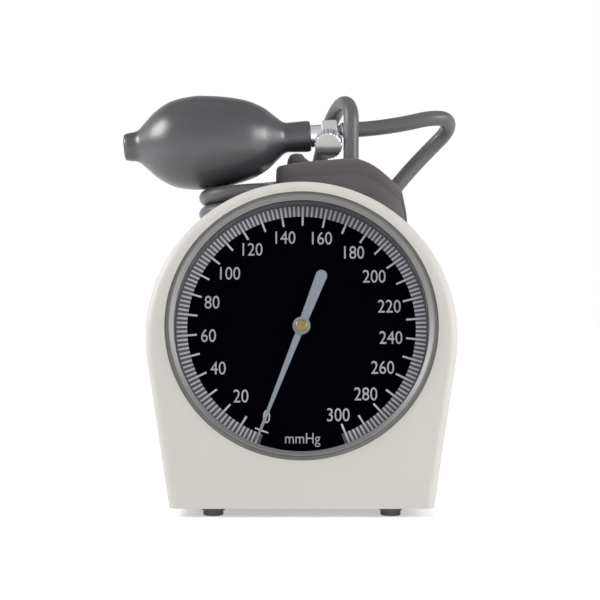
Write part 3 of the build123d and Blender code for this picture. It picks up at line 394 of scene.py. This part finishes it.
# %% The lens
WHITE = (1, 1, 1, 1)
lens_acrylic = bpy.data.materials.new("lens_acrylic")
lens_acrylic.use_nodes = True
lens_tree = lens_acrylic.node_tree
clear = lens_tree.nodes["Principled BSDF"]
clear.inputs["Base Color"].default_value = WHITE
clear.inputs["Roughness"].default_value = 0.0
clear.inputs["Transmission Weight"].default_value = 1.0
clear.inputs["IOR"].default_value = 1.0
lens_rays = node(lens_tree, "ShaderNodeLightPath")
lens_gap = node(lens_tree, "ShaderNodeBsdfTransparent")
lens_choice = node(lens_tree, "ShaderNodeMixShader")
lens_pass = node(lens_tree, "ShaderNodeMath", operation="MAXIMUM")
lens_tree.links.new(lens_rays.outputs["Is Shadow Ray"], lens_pass.inputs[0])
lens_tree.links.new(lens_rays.outputs["Is Diffuse Ray"], lens_pass.inputs[1])
lens_tree.links.new(lens_pass.outputs[0], lens_choice.inputs[0])
lens_tree.links.new(clear.outputs[0], lens_choice.inputs[1])
lens_tree.links.new(lens_gap.outputs[0], lens_choice.inputs[2])
lens_tree.links.new(lens_choice.outputs[0], lens_tree.nodes["Material Output"].inputs[0])
print("lens nodes", len(lens_tree.nodes))

# %% [markdown]
# ## Dressing the CAD pieces
# One table says which finish each piece of the frame wears. A loop then clears the plain
# material that came with the piece and gives it the new one. The two hoses get theirs here too.

# %% Give the CAD pieces their finishes
FINISHES = {
    case_plastic: ["front_housing", "rear_cover"],
    basket_plastic: ["storage_basket", "base_plate"],
    bezel_plastic: ["bezel_ring"],
    ring_plastic: ["dial_ring"],
    gasket_rubber: ["lens_gasket"],
    foot_rubber: ["foot_front_left", "foot_front_right", "foot_rear_left", "foot_rear_right"],
    port_plastic: ["cuff_port_top", "cuff_port_rear"],
    bladder_rubber: ["bladder", "cuff_hook_strip"],
    dial_paint: ["dial_plate"],
    pointer_paint: ["pointer"],
    brass: ["hub_cap", "movement_front_plate", "movement_back_plate", "sector_gear",
            "socket_block", "capsule_tip"],
    bronze: ["hairspring", "pressure_capsule"],
    steel: ["cover_screws", "basket_screws", "base_screws", "back_plate_screws",
            "movement_screws", "movement_pillars", "pinion_arbor", "sector_arbor",
            "spring_stud", "rocking_shaft", "intake_ball", "check_ball", "valve_needle"],
    aluminium: ["gauge_back_plate"],
    chrome: ["valve_body", "release_knob", "outlet_barb", "hose_barb", "intake_valve"],
    lens_acrylic: ["lens"],
}
for material, names in FINISHES.items():
    for name in names:
        nodes[name].data.materials.clear()
        nodes[name].data.materials.append(material)
for piece in (bulb_hose, gauge_hose):
    piece.data.materials.append(hose_rubber)
print("finished", sum(len(names) for names in FINISHES.values()), "CAD pieces")

# %% [markdown]
# ## Pieces made from loose points
# A piece that the frame doesn't carry is a mesh of its own. One helper makes it from corners and
# faces, turns all its faces outward, shades it smooth or flat and lets it ride on the case.


# %% A mesh piece
def mesh_piece(name, corners, faces, material, smooth=True):
    """A mesh from corners in metres and faces as lists of corner numbers."""
    mesh = bpy.data.meshes.new(name)
    mesh.from_pydata([tuple(corner) for corner in corners], [], faces)
    mesh.validate()
    shape = bmesh.new()
    shape.from_mesh(mesh)
    bmesh.ops.recalc_face_normals(shape, faces=shape.faces)
    shape.to_mesh(mesh)
    shape.free()
    mesh.polygons.foreach_set("use_smooth", [smooth] * len(mesh.polygons))
    mesh.materials.append(material)
    piece = bpy.data.objects.new(name, mesh)
    bpy.context.scene.collection.objects.link(piece)
    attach(piece, "case")
    return piece


# %% [markdown]
# ## The printed dial
# The scale is printed on the black plate: a grey band, a light tick for every two units, a longer
# one for every ten, upright numbers every twenty, and a small cross bar on the zero mark. A
# picture would be quick, but a thin mesh stays sharp at any distance. Each print is a film thinner
# than a tenth of a millimetre. The scale isn't quite even, as on a real gauge, so the angle of a
# value is read between a few measured marks.

# %% The dial's own plane
TILT = radians(12)
DIAL_CENTRE = Vector((0, -47.07, 107.9)) * MM
ACROSS = Vector((1, 0, 0))
UP = Vector((0, sin(TILT), cos(TILT)))
OUT = Vector((0, -cos(TILT), sin(TILT)))
DIAL_TOP = -11.2
SCALE = [(0, 21.4), (10, 31.25), (50, 75.2), (90, 117.75), (150, 180.6), (180, 214.2),
         (300, 337.9)]


def on_dial(u, v, w):
    """A place on the dial: millimetres across, up, and out from the face of the case."""
    return DIAL_CENTRE + (ACROSS * u + UP * v + OUT * w) * MM


def angle_of(value):
    """The angle of a value on the scale, between the two measured marks around it."""
    for (low, first), (high, last) in zip(SCALE, SCALE[1:]):
        if value <= high:
            return first + (last - first) * (value - low) / (high - low)
    return SCALE[-1][1]


def at_angle(angle, radius):
    """Across and up for an angle in degrees, clockwise from straight down."""
    turn = radians(angle)
    return -radius * sin(turn), -radius * cos(turn)


print("degrees from zero to the last mark", round(SCALE[-1][1] - SCALE[0][1], 1))

# %% The grey band, from just before zero to just after the last mark
BAND_INNER, BAND_OUTER, BAND_STEPS = 65.9, 72.9, 170
BAND_LOW, BAND_HIGH, BAND_MARGIN = 0.01, 0.05, 2
BAND_START, BAND_END = SCALE[0][1] - BAND_MARGIN, SCALE[-1][1] + BAND_MARGIN
BAND_SECTION = [(BAND_INNER, BAND_LOW), (BAND_OUTER, BAND_LOW), (BAND_OUTER, BAND_HIGH),
                (BAND_INNER, BAND_HIGH)]
corners, faces = [], []
for k in range(BAND_STEPS + 1):
    angle = BAND_START + (BAND_END - BAND_START) * k / BAND_STEPS
    for radius, height in BAND_SECTION:
        corners.append(on_dial(*at_angle(angle, radius), DIAL_TOP + height))
sides = len(BAND_SECTION)
for k in range(BAND_STEPS):
    a, b = sides * k, sides * (k + 1)
    for side in range(sides):
        other = (side + 1) % sides
        faces.append([a + side, b + side, b + other, a + other])
faces += [list(range(sides)), [sides * BAND_STEPS + side for side in range(sides)]]
scale_band = mesh_piece("scale_band", corners, faces, annulus_ink, smooth=False)
print("band faces", len(scale_band.data.polygons))

# %% [markdown]
# A tick is a flat bar. One helper adds a bar's eight corners and six faces to the lists, so all
# the ticks and the cross bar on the zero mark become a single mesh.


# %% A printed bar
def bar(corners, faces, middle, direction, length, width, low, high):
    """One printed bar on the dial, centred at middle, added to the lists."""
    along = Vector(direction).normalized() * length / 2
    aside = Vector((-along.y, along.x)).normalized() * width / 2
    start = len(corners)
    for height in (low, high):
        for one, two in ((-1, -1), (1, -1), (1, 1), (-1, 1)):
            spot = Vector(middle) + along * one + aside * two
            corners.append(on_dial(spot.x, spot.y, DIAL_TOP + height))
    box = [(0, 1, 2, 3), (4, 5, 6, 7), (0, 1, 5, 4), (1, 2, 6, 5), (2, 3, 7, 6), (3, 0, 4, 7)]
    faces.extend([[start + corner for corner in face] for face in box])


# %% The ticks and the zero bar
TICK_OUTER, SHORT_INNER, LONG_INNER = 72.0, 65.9, 60.5
TICK_UNITS, LONG_EVERY, TICK_WIDTH = 2, 5, 1.1
TICK_LOW, TICK_HIGH = 0.04, 0.1
ZERO_RADIUS, ZERO_SHIFT, ZERO_LENGTH, ZERO_WIDTH = 64.0, 0.6, 8.0, 0.95
ZERO_LOW, ZERO_HIGH = 0.03, 0.09
corners, faces = [], []
for k in range(SCALE[-1][0] // TICK_UNITS + 1):
    inner = LONG_INNER if k % LONG_EVERY == 0 else SHORT_INNER
    middle = at_angle(angle_of(TICK_UNITS * k), (inner + TICK_OUTER) / 2)
    bar(corners, faces, middle, middle, TICK_OUTER - inner, TICK_WIDTH, TICK_LOW, TICK_HIGH)
zero = at_angle(SCALE[0][1] - ZERO_SHIFT, ZERO_RADIUS)
bar(corners, faces, zero, (-zero[1], zero[0]), ZERO_LENGTH, ZERO_WIDTH, ZERO_LOW, ZERO_HIGH)
scale_ticks = mesh_piece("scale_ticks", corners, faces, tick_ink, smooth=False)
print("tick faces", len(scale_ticks.data.polygons))

# %% [markdown]
# The numbers are plain upright figures. A text object gives their outlines, and its mesh is
# squeezed a little to match the narrow figures of the real dial. It is then centred, turned into
# the dial's plane and laid on the paint.


# %% A printed word
CAPITAL_SHARE, HALF_FILM, LETTER_STEPS, PRINT_HEIGHT = 0.7, 0.00004, 4, 0.1


def print_word(name, words, middle, height, squeeze):
    """Upright lettering on the dial, of this height, centred at middle."""
    letters = bpy.data.curves.new(name, "FONT")
    letters.body = words
    letters.align_x, letters.align_y = "CENTER", "CENTER"
    letters.size = height * MM / CAPITAL_SHARE
    letters.extrude = HALF_FILM
    letters.resolution_u = LETTER_STEPS
    word = bpy.data.objects.new(name, letters)
    bpy.context.scene.collection.objects.link(word)
    bpy.context.view_layer.update()
    mesh = bpy.data.meshes.new_from_object(word)
    bpy.data.objects.remove(word)
    low = Vector([min(v.co[i] for v in mesh.vertices) for i in range(3)])
    high = Vector([max(v.co[i] for v in mesh.vertices) for i in range(3)])
    shift = -(low + high) / 2
    turn = Matrix((ACROSS * squeeze, UP, OUT)).transposed().to_4x4()
    spot = on_dial(middle[0], middle[1], DIAL_TOP + PRINT_HEIGHT)
    mesh.transform(Matrix.Translation(spot) @ turn @ Matrix.Translation(shift))
    mesh.materials.append(print_ink)
    printed = bpy.data.objects.new(name, mesh)
    bpy.context.scene.collection.objects.link(printed)
    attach(printed, "case")


# %% The numbers and the unit
NUMBER_HEIGHT, NUMBER_SQUEEZE = 7.6, 0.845
UNIT_PLACE, UNIT_HEIGHT, UNIT_SQUEEZE = (0.63, -65.3), 6.1, 0.87
# Where each number stands: its value, the angle of its middle and the radius
NUMBERS = [
    (0, 21.0, 55.6), (20, 40.9, 53.0), (40, 63.5, 53.5), (60, 84.8, 53.8), (80, 105.9, 53.8),
    (100, 127.6, 52.3), (120, 148.3, 54.3), (140, 170.0, 54.1), (160, 192.7, 54.2),
    (180, 214.6, 53.9), (200, 234.5, 51.8), (220, 256.3, 52.2), (240, 276.7, 51.8),
    (260, 296.8, 52.1), (280, 316.6, 53.4), (300, 337.6, 55.0),
]
for value, angle, radius in NUMBERS:
    place = at_angle(angle, radius)
    print_word(f"number_{value}", str(value), place, NUMBER_HEIGHT, NUMBER_SQUEEZE)
print_word("unit_word", "mmHg", UNIT_PLACE, UNIT_HEIGHT, UNIT_SQUEEZE)
print("printed numbers", len(NUMBERS))

# %% [markdown]
# ## The bulb
# A rubber bulb is moulded in two halves: an egg with a stub for the intake valve and a neck for
# the valve. A lathe shape gives the egg, and a faint ridge where the mould closed runs its length.
# The outline is a distance along the bulb and a radius. The stub, the egg and the neck are listed
# apart, because only the egg is smoothed, and the last list is the hollow inside.

# %% The bulb's outline
BULB_START = Vector((-109.5, 36.0, 215.9)) * MM
BULB_SLOPE = radians(3.45)
BULB_WAY = Vector((cos(BULB_SLOPE), 0, sin(BULB_SLOPE)))
BULB_UP = Vector((-sin(BULB_SLOPE), 0, cos(BULB_SLOPE)))
BULB_SIDE = Vector((0, -1, 0))
STUB_OUTLINE = [(0.2, 5.1), (0.0, 5.6), (0.0, 7.2), (0.3, 7.8), (1.0, 8.2), (2.6, 8.6),
                (4.5, 8.9), (6.2, 9.05)]
EGG_OUTLINE = [(7.0, 9.2), (8.4, 9.75), (10.1, 10.9), (13.8, 14.6), (19.4, 20.0), (26.8, 24.9),
               (34.3, 27.5), (45.5, 29.0), (56.6, 28.3), (64.1, 27.3), (71.6, 25.8), (79.0, 23.6),
               (86.5, 19.8), (90.2, 17.0), (93.9, 13.7), (97.0, 11.0)]
NECK_OUTLINE = [(98.6, 9.8), (99.6, 9.35), (100.6, 9.1), (101.5, 9.05), (107.0, 9.3),
                (112.5, 9.5), (114.3, 9.45), (115.1, 9.0), (115.4, 8.3), (115.4, 4.5),
                (115.2, 4.1)]
INSIDE_OUTLINE = [(99.0, 4.1), (88.0, 15.0), (68.0, 23.5), (47.6, 26.6), (28.0, 23.0),
                  (16.0, 12.0), (11.0, 5.1)]
EGG_STEPS = 5


def smooth_outline(points, steps):
    """A Catmull-Rom line through the points, with this many steps between each two."""
    ends = [Vector(points[0]) * 2 - Vector(points[1]), *map(Vector, points),
            Vector(points[-1]) * 2 - Vector(points[-2])]
    line = []
    for k in range(1, len(ends) - 2):
        p0, p1, p2, p3 = ends[k - 1 : k + 3]
        for step in range(steps):
            t = step / steps
            line.append(0.5 * (2 * p1 + (p2 - p0) * t + (2 * p0 - 5 * p1 + 4 * p2 - p3) * t**2
                               + (3 * p1 - p0 - 3 * p2 + p3) * t**3))
    line.append(ends[-2])
    return line


print("egg rings", len(smooth_outline(EGG_OUTLINE, EGG_STEPS)))

# %% [markdown]
# Each point of the outline becomes a ring of corners round the bulb's own slanting line, and each
# ring is joined to the next. The last ring is joined to the first, because the outline goes along
# the outside and comes back inside. The ridge lifts the corners that lie next to the mould's line.

# %% The bulb's mesh
outline = [*map(Vector, STUB_OUTLINE), *smooth_outline(EGG_OUTLINE, EGG_STEPS),
           *map(Vector, NECK_OUTLINE), *map(Vector, INSIDE_OUTLINE)]
outer_count = len(outline) - len(INSIDE_OUTLINE)
BULB_SEGMENTS = 120
SEAM_REACH, SEAM_HEIGHT, SEAM_START, SEAM_END = radians(3.2), 0.16, 7, 114
corners, faces = [], []
for row, spot in enumerate(outline):
    for k in range(BULB_SEGMENTS):
        turn = 2 * pi * k / BULB_SEGMENTS
        seam_distance = min(turn % pi, pi - turn % pi)
        lift = SEAM_HEIGHT * max(0.0, 1 - seam_distance / SEAM_REACH)
        has_seam = row < outer_count and SEAM_START < spot.x < SEAM_END
        radius = spot.y + (lift if has_seam else 0)
        corners.append(BULB_START + BULB_WAY * spot.x * MM
                       + (BULB_UP * cos(turn) + BULB_SIDE * sin(turn)) * radius * MM)
rows = len(outline)
for row in range(rows):
    for k in range(BULB_SEGMENTS):
        a, b = row * BULB_SEGMENTS, (row + 1) % rows * BULB_SEGMENTS
        other = (k + 1) % BULB_SEGMENTS
        faces.append([a + k, a + other, b + other, b + k])
bulb_skin = mesh_piece("bulb_skin", corners, faces, bulb_rubber)
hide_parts("bulb")
print("bulb faces", len(bulb_skin.data.polygons))

# %% [markdown]
# ## The cuff
# The cuff is a woven band with a bladder in it, rolled up and stood on end in the basket. A cloth
# simulation could settle it, but the roll has to keep its place between the coil and the case.
# So the band is swept along a spiral in plan, made of straight runs and half circles.

# %% The roll's centre line
CUFF_FRONT, CUFF_BACK, CUFF_BOTTOM = 11.5, 54.5, 62.5
ROLL_Y = (CUFF_FRONT + CUFF_BACK) / 2
WRAP, WRAP_PITCH = 6.2, 6.8
ROLL_RIGHT = (CUFF_BACK - CUFF_FRONT - WRAP) / 2
ROLL_RIGHT_X, ROLL_LEFT_X = 44.0, 2.2
CUFF_END_X = 8.0
WRAPS, RUN_STEPS, RIGHT_STEPS, LEFT_STEPS = 3, 12, 20, 18


def run(start, end, steps):
    """Points from start up to, but not at, the end."""
    a, b = Vector(start), Vector(end)
    return [a.lerp(b, k / steps) for k in range(steps)]


def bend(centre, radius, first, last, steps):
    """Points on an arc from the first to the last angle in degrees, but not the last."""
    line = []
    for k in range(steps):
        angle = radians(first + (last - first) * k / steps)
        line.append(Vector((centre[0] + radius * cos(angle), centre[1] + radius * sin(angle))))
    return line


print("radius of the outer wrap's bend", round(ROLL_RIGHT, 1))

# %% Lay the wraps, from the free end at the back towards the middle
roll = []
for k in range(WRAPS):
    if k == 1:
        inner_start = len(roll)
    right = ROLL_RIGHT - k * WRAP_PITCH
    left = right - WRAP_PITCH / 2
    back, front = ROLL_Y + right, ROLL_Y - right
    start_x = CUFF_END_X if k == 0 else ROLL_LEFT_X
    roll += run((start_x, back), (ROLL_RIGHT_X, back), RUN_STEPS)
    roll += bend((ROLL_RIGHT_X, ROLL_Y), right, 90, -90, RIGHT_STEPS)
    roll += run((ROLL_RIGHT_X, front), (ROLL_LEFT_X, front), RUN_STEPS)
    if k < WRAPS - 1:
        roll += bend((ROLL_LEFT_X, front + left), left, -90, -270, LEFT_STEPS)
roll.append(Vector((ROLL_LEFT_X, front)))
print("points along the roll", len(roll))

# %% [markdown]
# The top edge is given as a height for each place across, like the outline one sees from the
# front: highest in the middle, lower to the right. A line through a few heights is enough. The
# inner wraps have worked up a little at the left end, so they have an edge of their own there.

# %% The top edge
TOP_EDGE = [(-20.0, 187.0), (-17.9, 192.8), (-15.2, 203.2), (-13.0, 203.6), (17.3, 206.0),
            (26.4, 207.2), (34.3, 207.4), (41.5, 204.6), (46.4, 201.4), (52.4, 196.4),
            (58.0, 191.2), (61.0, 190.0), (63.6, 179.0), (66.2, 168.0)]
INNER_EDGE = [(-9.3, 207.2), (-6.5, 210.4), (-3.0, 210.8), (0.5, 210.0), (3.0, 206.4),
              (4.5, 204.7)]


def top_edge(x, inner):
    """The height of the cuff's top edge at this distance across, on its outer or inner wraps."""
    outline = INNER_EDGE if inner and x < INNER_EDGE[-1][0] else TOP_EDGE
    for (x0, z0), (x1, z1) in zip(outline, outline[1:]):
        if x <= x1:
            return z0 + (z1 - z0) * max(0.0, (x - x0) / (x1 - x0))
    return outline[-1][1]


print("highest place of the cuff's edge", max(z for x, z in TOP_EDGE + INNER_EDGE))

# %% [markdown]
# The band's section has a bound edge, thinner than the padded middle. It is given from the lower
# edge up to the middle, as a share of the height and a share of the thickness, and mirrored. A
# slow ripple keeps the top from looking cut with a knife, and the free end is pinched. Each corner
# also keeps how far along the band it lies, for the threads of the cloth.

# %% Sweep the band's section along the roll
RIPPLE_HEIGHT, RIPPLE_LENGTH = 0.35, 9.0
PINCH_SHARE, PINCH_REACH, PINCH_LENGTH = 0.55, 8.0, 16.0
SECTION_HALF = [(0.0, 0.30), (0.006, 0.42), (0.02, 0.46), (0.055, 0.46), (0.062, 0.40),
                (0.075, 0.44), (0.12, 0.485), (0.25, 0.5), (0.4, 0.5), (0.5, 0.5)]
section = SECTION_HALF + [(1 - share, half) for share, half in reversed(SECTION_HALF[:-1])]
corners, faces, strip = [], [], []
travelled = 0.0
for k, spot in enumerate(roll):
    before, after = roll[max(0, k - 1)], roll[min(len(roll) - 1, k + 1)]
    way = (after - before).normalized()
    normal = Vector((-way.y, way.x))
    travelled += (spot - before).length if k else 0.0
    ripple = RIPPLE_HEIGHT * sin(travelled / RIPPLE_LENGTH)
    end_pinch = min(1.0, PINCH_SHARE + min(travelled, PINCH_REACH) / PINCH_LENGTH)
    for side in (1, -1):
        order = section if side == 1 else section[::-1]
        for share, half in order:
            offset = normal * side * half * WRAP * end_pinch
            top = top_edge(spot.x + offset.x, k >= inner_start) + ripple
            height = CUFF_BOTTOM + (top - CUFF_BOTTOM) * share
            corners.append(Vector((spot.x + offset.x, spot.y + offset.y, height)) * MM)
            strip.append((travelled * MM, height * MM, side))
per_ring = 2 * len(section)
rings = len(roll)
for k in range(rings - 1):
    for j in range(per_ring):
        other = (j + 1) % per_ring
        a, b = k * per_ring, (k + 1) * per_ring
        faces.append([a + j, a + other, b + other, b + j])
faces.append(list(range(per_ring)))
faces.append([(rings - 1) * per_ring + j for j in range(per_ring)])

# %% [markdown]
# ## The cloth
# The cloth is a close plain weave. The mesh carries how far along the band and how high each
# corner lies, so the threads follow the roll round its bends. Crossing waves in those two
# directions give the height and the tone of warp and weft.

# %% The weave
weave = shader_group(
    "plain_weave",
    [("Colour", "NodeSocketColor", None), ("Thread", "NodeSocketFloat", 0.0009),
     ("Contrast", "NodeSocketFloat", 0.2)],
    [("Colour", "NodeSocketColor"), ("Height", "NodeSocketFloat")],
)
links = weave.links
group_in, group_out = weave.nodes["in"], weave.nodes["out"]
strip_place = node(weave, "ShaderNodeAttribute", attribute_name="strip_place")
split = node(weave, "ShaderNodeSeparateXYZ")
links.new(strip_place.outputs["Vector"], split.inputs[0])
waves = []
for socket in ("X", "Y"):
    ratio = node(weave, "ShaderNodeMath", operation="DIVIDE")
    links.new(split.outputs[socket], ratio.inputs[0])
    links.new(group_in.outputs["Thread"], ratio.inputs[1])
    turned = node(weave, "ShaderNodeMath", operation="MULTIPLY", i1=2 * pi)
    links.new(ratio.outputs[0], turned.inputs[0])
    wave = node(weave, "ShaderNodeMath", operation="SINE")
    links.new(turned.outputs[0], wave.inputs[0])
    waves.append(wave)
product = node(weave, "ShaderNodeMath", operation="MULTIPLY")
links.new(waves[0].outputs[0], product.inputs[0])
links.new(waves[1].outputs[0], product.inputs[1])
level = node(weave, "ShaderNodeMath", operation="MULTIPLY_ADD", i1=0.5, i2=0.5)
links.new(product.outputs[0], level.inputs[0])
links.new(level.outputs[0], group_out.inputs["Height"])
swing = node(weave, "ShaderNodeMath", operation="MULTIPLY")
links.new(product.outputs[0], swing.inputs[0])
links.new(group_in.outputs["Contrast"], swing.inputs[1])
lift = node(weave, "ShaderNodeMath", operation="ADD", i1=1.0)
links.new(swing.outputs[0], lift.inputs[0])
shaded = node(weave, "ShaderNodeVectorMath", operation="SCALE")
links.new(group_in.outputs["Colour"], shaded.inputs[0])
links.new(lift.outputs[0], shaded.inputs["Scale"])
links.new(shaded.outputs[0], group_out.inputs["Colour"])
print("plain weave nodes", len(weave.nodes))

# %% [markdown]
# The cloth is rough and has a soft sheen, as brushed fibres do. Its colour goes through the patchy
# tone first and the weave after it, and the weave's height makes the bump.

# %% The cuff's cloth
THREAD, THREAD_CONTRAST, THREAD_HEIGHT = 0.0011, 0.16, 0.0003
cuff_cloth = bpy.data.materials.new("cuff_cloth")
cuff_cloth.use_nodes = True
tree = cuff_cloth.node_tree
shader = tree.nodes["Principled BSDF"]
shader.inputs["Roughness"].default_value = 0.78
shader.inputs["Sheen Weight"].default_value = 0.25
shader.inputs["Sheen Roughness"].default_value = 0.5
tone = node(tree, "ShaderNodeGroup", node_tree=patchy_tone)
tone.inputs["Colour"].default_value = screen(94, 88, 92)
tone.inputs["Scale"].default_value = 40
tone.inputs["Amount"].default_value = 0.12
threads = node(tree, "ShaderNodeGroup", node_tree=weave)
threads.inputs["Thread"].default_value = THREAD
threads.inputs["Contrast"].default_value = THREAD_CONTRAST
tree.links.new(tone.outputs["Colour"], threads.inputs["Colour"])
tree.links.new(threads.outputs["Colour"], shader.inputs["Base Color"])
bump = node(tree, "ShaderNodeBump")
bump.inputs["Strength"].default_value = 0.5
bump.inputs["Distance"].default_value = THREAD_HEIGHT
tree.links.new(threads.outputs["Height"], bump.inputs["Height"])
tree.links.new(bump.outputs[0], shader.inputs["Normal"])
print("threads across one centimetre", round(0.01 / THREAD, 1))

# %% [markdown]
# Last, the corners and faces become the cuff's mesh, with the places along the band as an
# attribute that the weave reads.

# %% The cuff's mesh
cuff_band = mesh_piece("cuff_band", corners, faces, cuff_cloth)
carried = cuff_band.data.attributes.new("strip_place", "FLOAT_VECTOR", "POINT")
carried.data.foreach_set("vector", [value for spot in strip for value in spot])
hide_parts("cuff")
print("cuff faces", len(cuff_band.data.polygons))

# %% [markdown]
# ## Floor, backdrop and light
# The photograph has a white ground and soft light from both sides and above. A white floor and
# world would light the object too strongly from all round, so they look white only to the rays
# that look at them: those from the camera, off gloss and through glass.


# %% Rays that show the background: camera, gloss and glass
def looking_rays(tree):
    """A socket that is one for rays that look at the background."""
    rays = node(tree, "ShaderNodeLightPath")
    total = rays.outputs["Is Camera Ray"]
    for label in ("Is Glossy Ray", "Is Transmission Ray"):
        either = node(tree, "ShaderNodeMath", operation="MAXIMUM")
        tree.links.new(total, either.inputs[0])
        tree.links.new(rays.outputs[label], either.inputs[1])
        total = either.outputs[0]
    return total


# %% [markdown]
# The floor glows a little in those rays, more so far from the object, so it looks white and still
# takes the object's shadow.

# %% The floor
FLOOR_SIZE, FLOOR_GREY, FLOOR_ROUGHNESS = 12, 0.86, 0.9
NEAR, FAR, NEAR_GLOW, FAR_GLOW = 0.25, 1.3, 0.45, 1.0
bpy.ops.mesh.primitive_plane_add(size=FLOOR_SIZE)
floor = bpy.context.object
floor.name = "floor"
floor_material = bpy.data.materials.new("floor")
floor_material.use_nodes = True
tree = floor_material.node_tree
plain = tree.nodes["Principled BSDF"]
plain.inputs["Base Color"].default_value = (FLOOR_GREY, FLOOR_GREY, FLOOR_GREY, 1)
plain.inputs["Roughness"].default_value = FLOOR_ROUGHNESS
plain.inputs["Emission Color"].default_value = WHITE
spot = node(tree, "ShaderNodeTexCoord")
away = node(tree, "ShaderNodeVectorMath", operation="LENGTH")
tree.links.new(spot.outputs["Object"], away.inputs[0])
far_white = node(tree, "ShaderNodeMapRange", i1=NEAR, i2=FAR, i3=NEAR_GLOW, i4=FAR_GLOW)
tree.links.new(away.outputs["Value"], far_white.inputs[0])
glow = node(tree, "ShaderNodeMath", operation="MULTIPLY")
tree.links.new(looking_rays(tree), glow.inputs[0])
tree.links.new(far_white.outputs[0], glow.inputs[1])
tree.links.new(glow.outputs[0], plain.inputs["Emission Strength"])
floor.data.materials.append(floor_material)
print("floor size in metres", FLOOR_SIZE)

# %% [markdown]
# The world is a soft grey fill for the object. To the rays that look at it, it is white at the
# horizon and grey overhead, as a room is, which gives the chrome something to mirror.

# %% The world
FILL_STRENGTH = 0.33
HORIZON_UP, OVERHEAD_UP, HORIZON_GLOW, OVERHEAD_GLOW = 0.3, 0.9, 1.0, 0.12
world = bpy.data.worlds.new("studio")
bpy.context.scene.world = world
world.use_nodes = True
tree = world.node_tree
tree.nodes.clear()
fill = node(tree, "ShaderNodeBackground", i1=FILL_STRENGTH)
fill.inputs[0].default_value = WHITE
way = node(tree, "ShaderNodeTexCoord")
split = node(tree, "ShaderNodeSeparateXYZ")
tree.links.new(way.outputs["Generated"], split.inputs[0])
overhead = node(tree, "ShaderNodeMapRange", i1=HORIZON_UP, i2=OVERHEAD_UP, i3=HORIZON_GLOW,
                i4=OVERHEAD_GLOW)
tree.links.new(split.outputs["Z"], overhead.inputs[0])
room = node(tree, "ShaderNodeBackground")
room.inputs[0].default_value = WHITE
tree.links.new(overhead.outputs[0], room.inputs[1])
either = node(tree, "ShaderNodeMixShader")
tree.links.new(looking_rays(tree), either.inputs[0])
tree.links.new(fill.outputs[0], either.inputs[1])
tree.links.new(room.outputs[0], either.inputs[2])
out = node(tree, "ShaderNodeOutputWorld")
tree.links.new(either.outputs[0], out.inputs[0])
print("world nodes", len(tree.nodes))

# %% [markdown]
# Three square lamps do the rest. The left one is a little stronger and gives the bulb's bright
# end, the right one lights the other end, and a wide weak one above rounds off the top.


# %% The lamps
def lamp(name, place, aim, size, watts):
    """A square soft lamp that faces aim."""
    light = bpy.data.lights.new(name, "AREA")
    light.shape = "SQUARE"
    light.size = size
    light.energy = watts
    piece = bpy.data.objects.new(name, light)
    piece.location = place
    piece.rotation_euler = (Vector(aim) - Vector(place)).to_track_quat("-Z", "Y").to_euler()
    bpy.context.scene.collection.objects.link(piece)


# Each lamp's name, place, aim, size in metres and power in watts
LAMPS = [
    ("left_lamp", (-1.06, -0.14, 0.76), (0, 0, 0.2), 0.5, 9.4),
    ("right_lamp", (1.0, -0.45, 0.5), (0, 0, 0.2), 0.5, 6.8),
    ("top_lamp", (0.0, -0.2, 1.3), (0, 0, 0.1), 1.6, 3.4),
]
for settings in LAMPS:
    lamp(*settings)
print("lamps", len(LAMPS))

# %% [markdown]
# ## Finish
# The last line brings the view layer up to date.

# %% Finish
bpy.context.view_layer.update()
